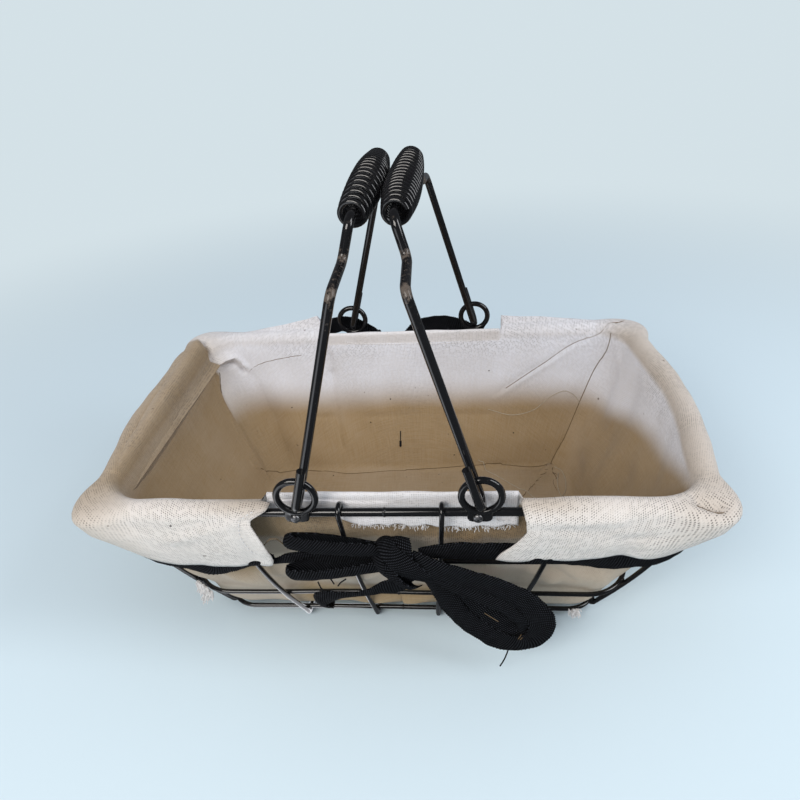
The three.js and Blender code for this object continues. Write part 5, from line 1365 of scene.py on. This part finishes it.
BROWN_THREAD = thread_finish("brown_thread", (0.185, 0.128, 0.072, 1))
PALE_THREAD = thread_finish("pale_thread", (0.50, 0.43, 0.33, 1))
WHITE_THREAD = thread_finish("white_thread", (0.80, 0.78, 0.77, 1))
BLACK_THREAD = thread_finish("black_thread", (0.010, 0.010, 0.012, 1))
SEAMS = [
    [(-160.2, 83.6, 102.7), (-158.5, 75.9, 91.9), (-152.8, 63.8, 73.6), (-144.5, 53.7, 54.2), (-135, 45.2, 35.1),
     (-134.6, 30, 33.4), (-134, 10, 31.6)],
    [(166, 108.5, 129), (163, 106.5, 128.6), (159.7, 104.2, 125), (155.9, 97.6, 115), (144.9, 95.2, 93.8),
     (135.1, 90.3, 69), (121.3, 79.9, 34.9), (110.8, 72.1, 14), (112.9, 54.3, 11.3)],
    [(-134.1, 47, 33.5), (-120, 62, 18), (-103.7, 70.8, 11.3), (-58.9, 66, 11.3), (-16.1, 69.5, 11.3),
     (18, 71.7, 11.3), (68.7, 72.9, 13.9), (95.3, 71.8, 11.3), (108.4, 72.1, 13)],
]
CREASE_SHADOW_LINES = [
    [(163, 106.5, 128.6), (156, 104, 125), (145, 102, 119), (128.6, 99, 113.8), (98.1, 96.7, 92.5), (74, 93.6, 76)],
    [(-141.6, 97.2, 96.3), (-128.1, 99.9, 103.1), (-110.3, 100.3, 107.1), (-92.8, 100, 109.5)],
    [(159.6, -106.6, 127.5), (164.7, -109.5, 126.7), (169.5, -110.2, 125.9)],
    [(109, 70, 11.3), (96.7, 51.9, 11.3), (84, 33, 11.3)],
    [(110.5, 66, 11.3), (114.5, 56, 11.3), (111, 51.8, 11.3), (112, 40, 11.3)],
]
SEAM_RADIUS, CREASE_RADIUS, SEWING_RADIUS, LOOSE_RADIUS, LINT_RADIUS = 0.00036, 0.00028, 0.0003, 0.00026, 0.00019
MARK_RADIUS, DROP_RADIUS, TAPE_THREAD_RADIUS, FRAY_RADIUS = 0.00048, 0.0011, 0.00042, 0.00017
SEAM_LIFT, CREASE_LIFT, LOOSE_LIFT, MARK_LIFT, DROP_LIFT = -0.00012, -0.00014, 0.0002, -0.0001, -0.0003
STITCH_LOW, STITCH_HIGH = -0.0004, 0.0003
# Seam lines: real seams, drawn dark brown as painted shade along them.
thread_piece("seam_lines", [on_cloth(line, SEAM_LIFT) for line in SEAMS], SEAM_RADIUS, BROWN_THREAD)
# Painted crease shadows: dark brown lines laid in the fine creases.
thread_piece("crease_lines", [on_cloth(line, CREASE_LIFT) for line in CREASE_SHADOW_LINES], CREASE_RADIUS, BROWN_THREAD)


def stitched(places):
    """Short stitches along a line, each one sunk into the cloth at its ends."""
    low, high = (on_cloth(places, lift, STITCH_STEP) for lift in (STITCH_LOW, STITCH_HIGH))
    return [[low[k], *high[k + 1:k + 4], low[k + 4]] for k in range(0, len(low) - 5, 7)]


FRONT_STITCHES = [(-74, -112.5, 125.6), (-78.5, -113, 122.8), (-81.9, -113, 119.9), (-82.8, -112.5, 112.6),
                  (-81.7, -111.5, 106.6), (-79.2, -110.8, 99), (-75.9, -110, 95.1)]
REAR_STITCHES = [(-74.2, 103.7, 127.3), (-55.3, 99, 120.5), (-27, 98.5, 117.5), (5.5, 98.5, 117.3),
                 (37.6, 98.5, 117.1), (57.4, 98.5, 120.3)]
thread_piece("hem_stitches", stitched(FRONT_STITCHES) + stitched(REAR_STITCHES), SEWING_RADIUS, WHITE_THREAD)

# Loose threads and frayed edges. Threads lie on the walls and the floor, hang
# from the knot and stick out of the hem, the seam ends and the tape's cut end.
LOOSE_THREADS = [
    [(59.3, 89.4, 58.8), (80.6, 87.2, 53.8), (96.9, 88.1, 57.8), (111.2, 91.3, 69), (122.4, 92.5, 72.7),
     (128.8, 91.4, 69.4), (133.6, 88.1, 62.7)],
    [(112, 70, 12), (117.7, 66.7, 11.9), (120.5, 56.8, 11.3), (119.6, 44.1, 11.3), (115.2, 34.3, 11.3),
     (112.8, 46.7, 11.3), (115.5, 62.1, 11.3)],
    [(50.3, 74.4, 17.3), (67.9, 57.5, 11.3), (94, 33, 11.5)],
]
BOW_LINT = [[(50, -120, 56.3), (54.2, -120.4, 53), (57.8, -120.4, 49.8)],
            [(70.9, -120, 38.5), (70, -120.4, 36.6), (69.2, -120, 34.6)],
            [(71.6, -120, 36), (70.8, -120.4, 35.2), (70.4, -120, 34)]]
BROWN_LOOP = [[(-72.1, -112, 100.8), (-67.4, -113, 106.4), (-63.4, -113, 106.4), (-61, -112, 101.6)]]
TAPE_THREADS = [[(63.7, -118, 21.5), (62, -118, 14.6), (60.6, -118, 10.5), (59.1, -118, 6.9)],
                [(-37.9, -112, 75), (-36.6, -112.4, 72.5), (-36.1, -112, 70.1)],
                [(-28.6, -112, 74.3), (-32, -112.4, 71.8), (-34, -112, 68.5)],
                [(-45.7, -111, 70.6), (-44.8, -110.8, 65.6), (-43, -110, 61.1)]]
MARK_STREAK = [(-14.5, 83.5, 42), (-14.8, 81, 35), (-15, 78.6, 28.6)]
MARK_DROP = [(-14.9, 80.6, 34), (-15, 78.9, 29.4)]
MARK_SPOTS = [(-106.7, 90.6, 63.8), (-22.1, 92.3, 68.7), (-73.1, 62.6, 11.3), (79.7, 82.2, 39.1),
              (-121.5, -115, 117.5), (60, 96, 92), (30, 75, 22), (-40, 85, 50)]


def hanging(lines):
    """Lines through places in mm, clear of the cloth."""
    return [(np.array(line) * MM).tolist() for line in lines]


thread_piece("loose_threads", [on_cloth(line, LOOSE_LIFT) for line in LOOSE_THREADS], LOOSE_RADIUS, PALE_THREAD)
thread_piece("bow_lint", hanging(BOW_LINT), LINT_RADIUS, BROWN_THREAD)
thread_piece("brown_loop", hanging(BROWN_LOOP), SEWING_RADIUS, BROWN_THREAD)
thread_piece("dark_marks", [on_cloth(MARK_STREAK, MARK_LIFT)] + [
    on_cloth([(x, y, z), (x + 0.8, y, z + 0.2)], MARK_LIFT, 0.0005) for x, y, z in MARK_SPOTS], MARK_RADIUS,
    BLACK_THREAD)
thread_piece("dark_mark_drop", [on_cloth(MARK_DROP, DROP_LIFT)], DROP_RADIUS, BLACK_THREAD)
thread_piece("tape_threads", hanging(TAPE_THREADS), TAPE_THREAD_RADIUS, BLACK_THREAD, "tape")

dice = random.Random(7)


def scattered(by):
    return np.array([dice.uniform(-1, 1) for _ in range(3)]) * by


def frayed(start, end, count, way, reach):
    """Short bent threads out of a cut edge between two places, in mm."""
    start, end, way = (np.array(v, float) * MM for v in (start, end, way))
    lines = []
    for _ in range(count):
        root = start + (end - start) * dice.uniform(0, 1) + scattered(0.0006)
        tip = root + way * dice.uniform(0.4, 1) * reach + scattered(0.0014)
        middle = (root + tip) / 2 + scattered(0.0008)
        lines.append([tuple(root), tuple(middle), tuple(tip)])
    return lines


HEM_FRAYS = [((-22, -103.9, 109.4), (20, -103.9, 108), 90, (0, -0.15, -1), 2.4),
             ((28, -103.9, 106.8), (66, -103.9, 108), 70, (0.1, -0.15, -1), 2.6),
             ((52, -103.4, 114), (62, -103.4, 110), 16, (0.8, -0.2, 0.5), 4.0)]
SEAM_FRAYS = [((-138, -79, 36), (-129, -84.5, 34), 170, (-0.15, -0.22, -1), 8),
              ((-134, -84, 28), (-126, -85.5, 34), 70, (-0.15, -0.2, -1), 6.5),
              ((103.8, -82, 15.4), (109.8, -82, 16.2), 60, (0.3, -0.5, -0.9), 4.6)]
for name, frays, radius in (("frayed_hem", HEM_FRAYS, FRAY_RADIUS), ("seam_tails", SEAM_FRAYS, SEWING_RADIUS)):
    thread_piece(name, [line for fray in frays for line in frayed(*fray)], radius, WHITE_THREAD)
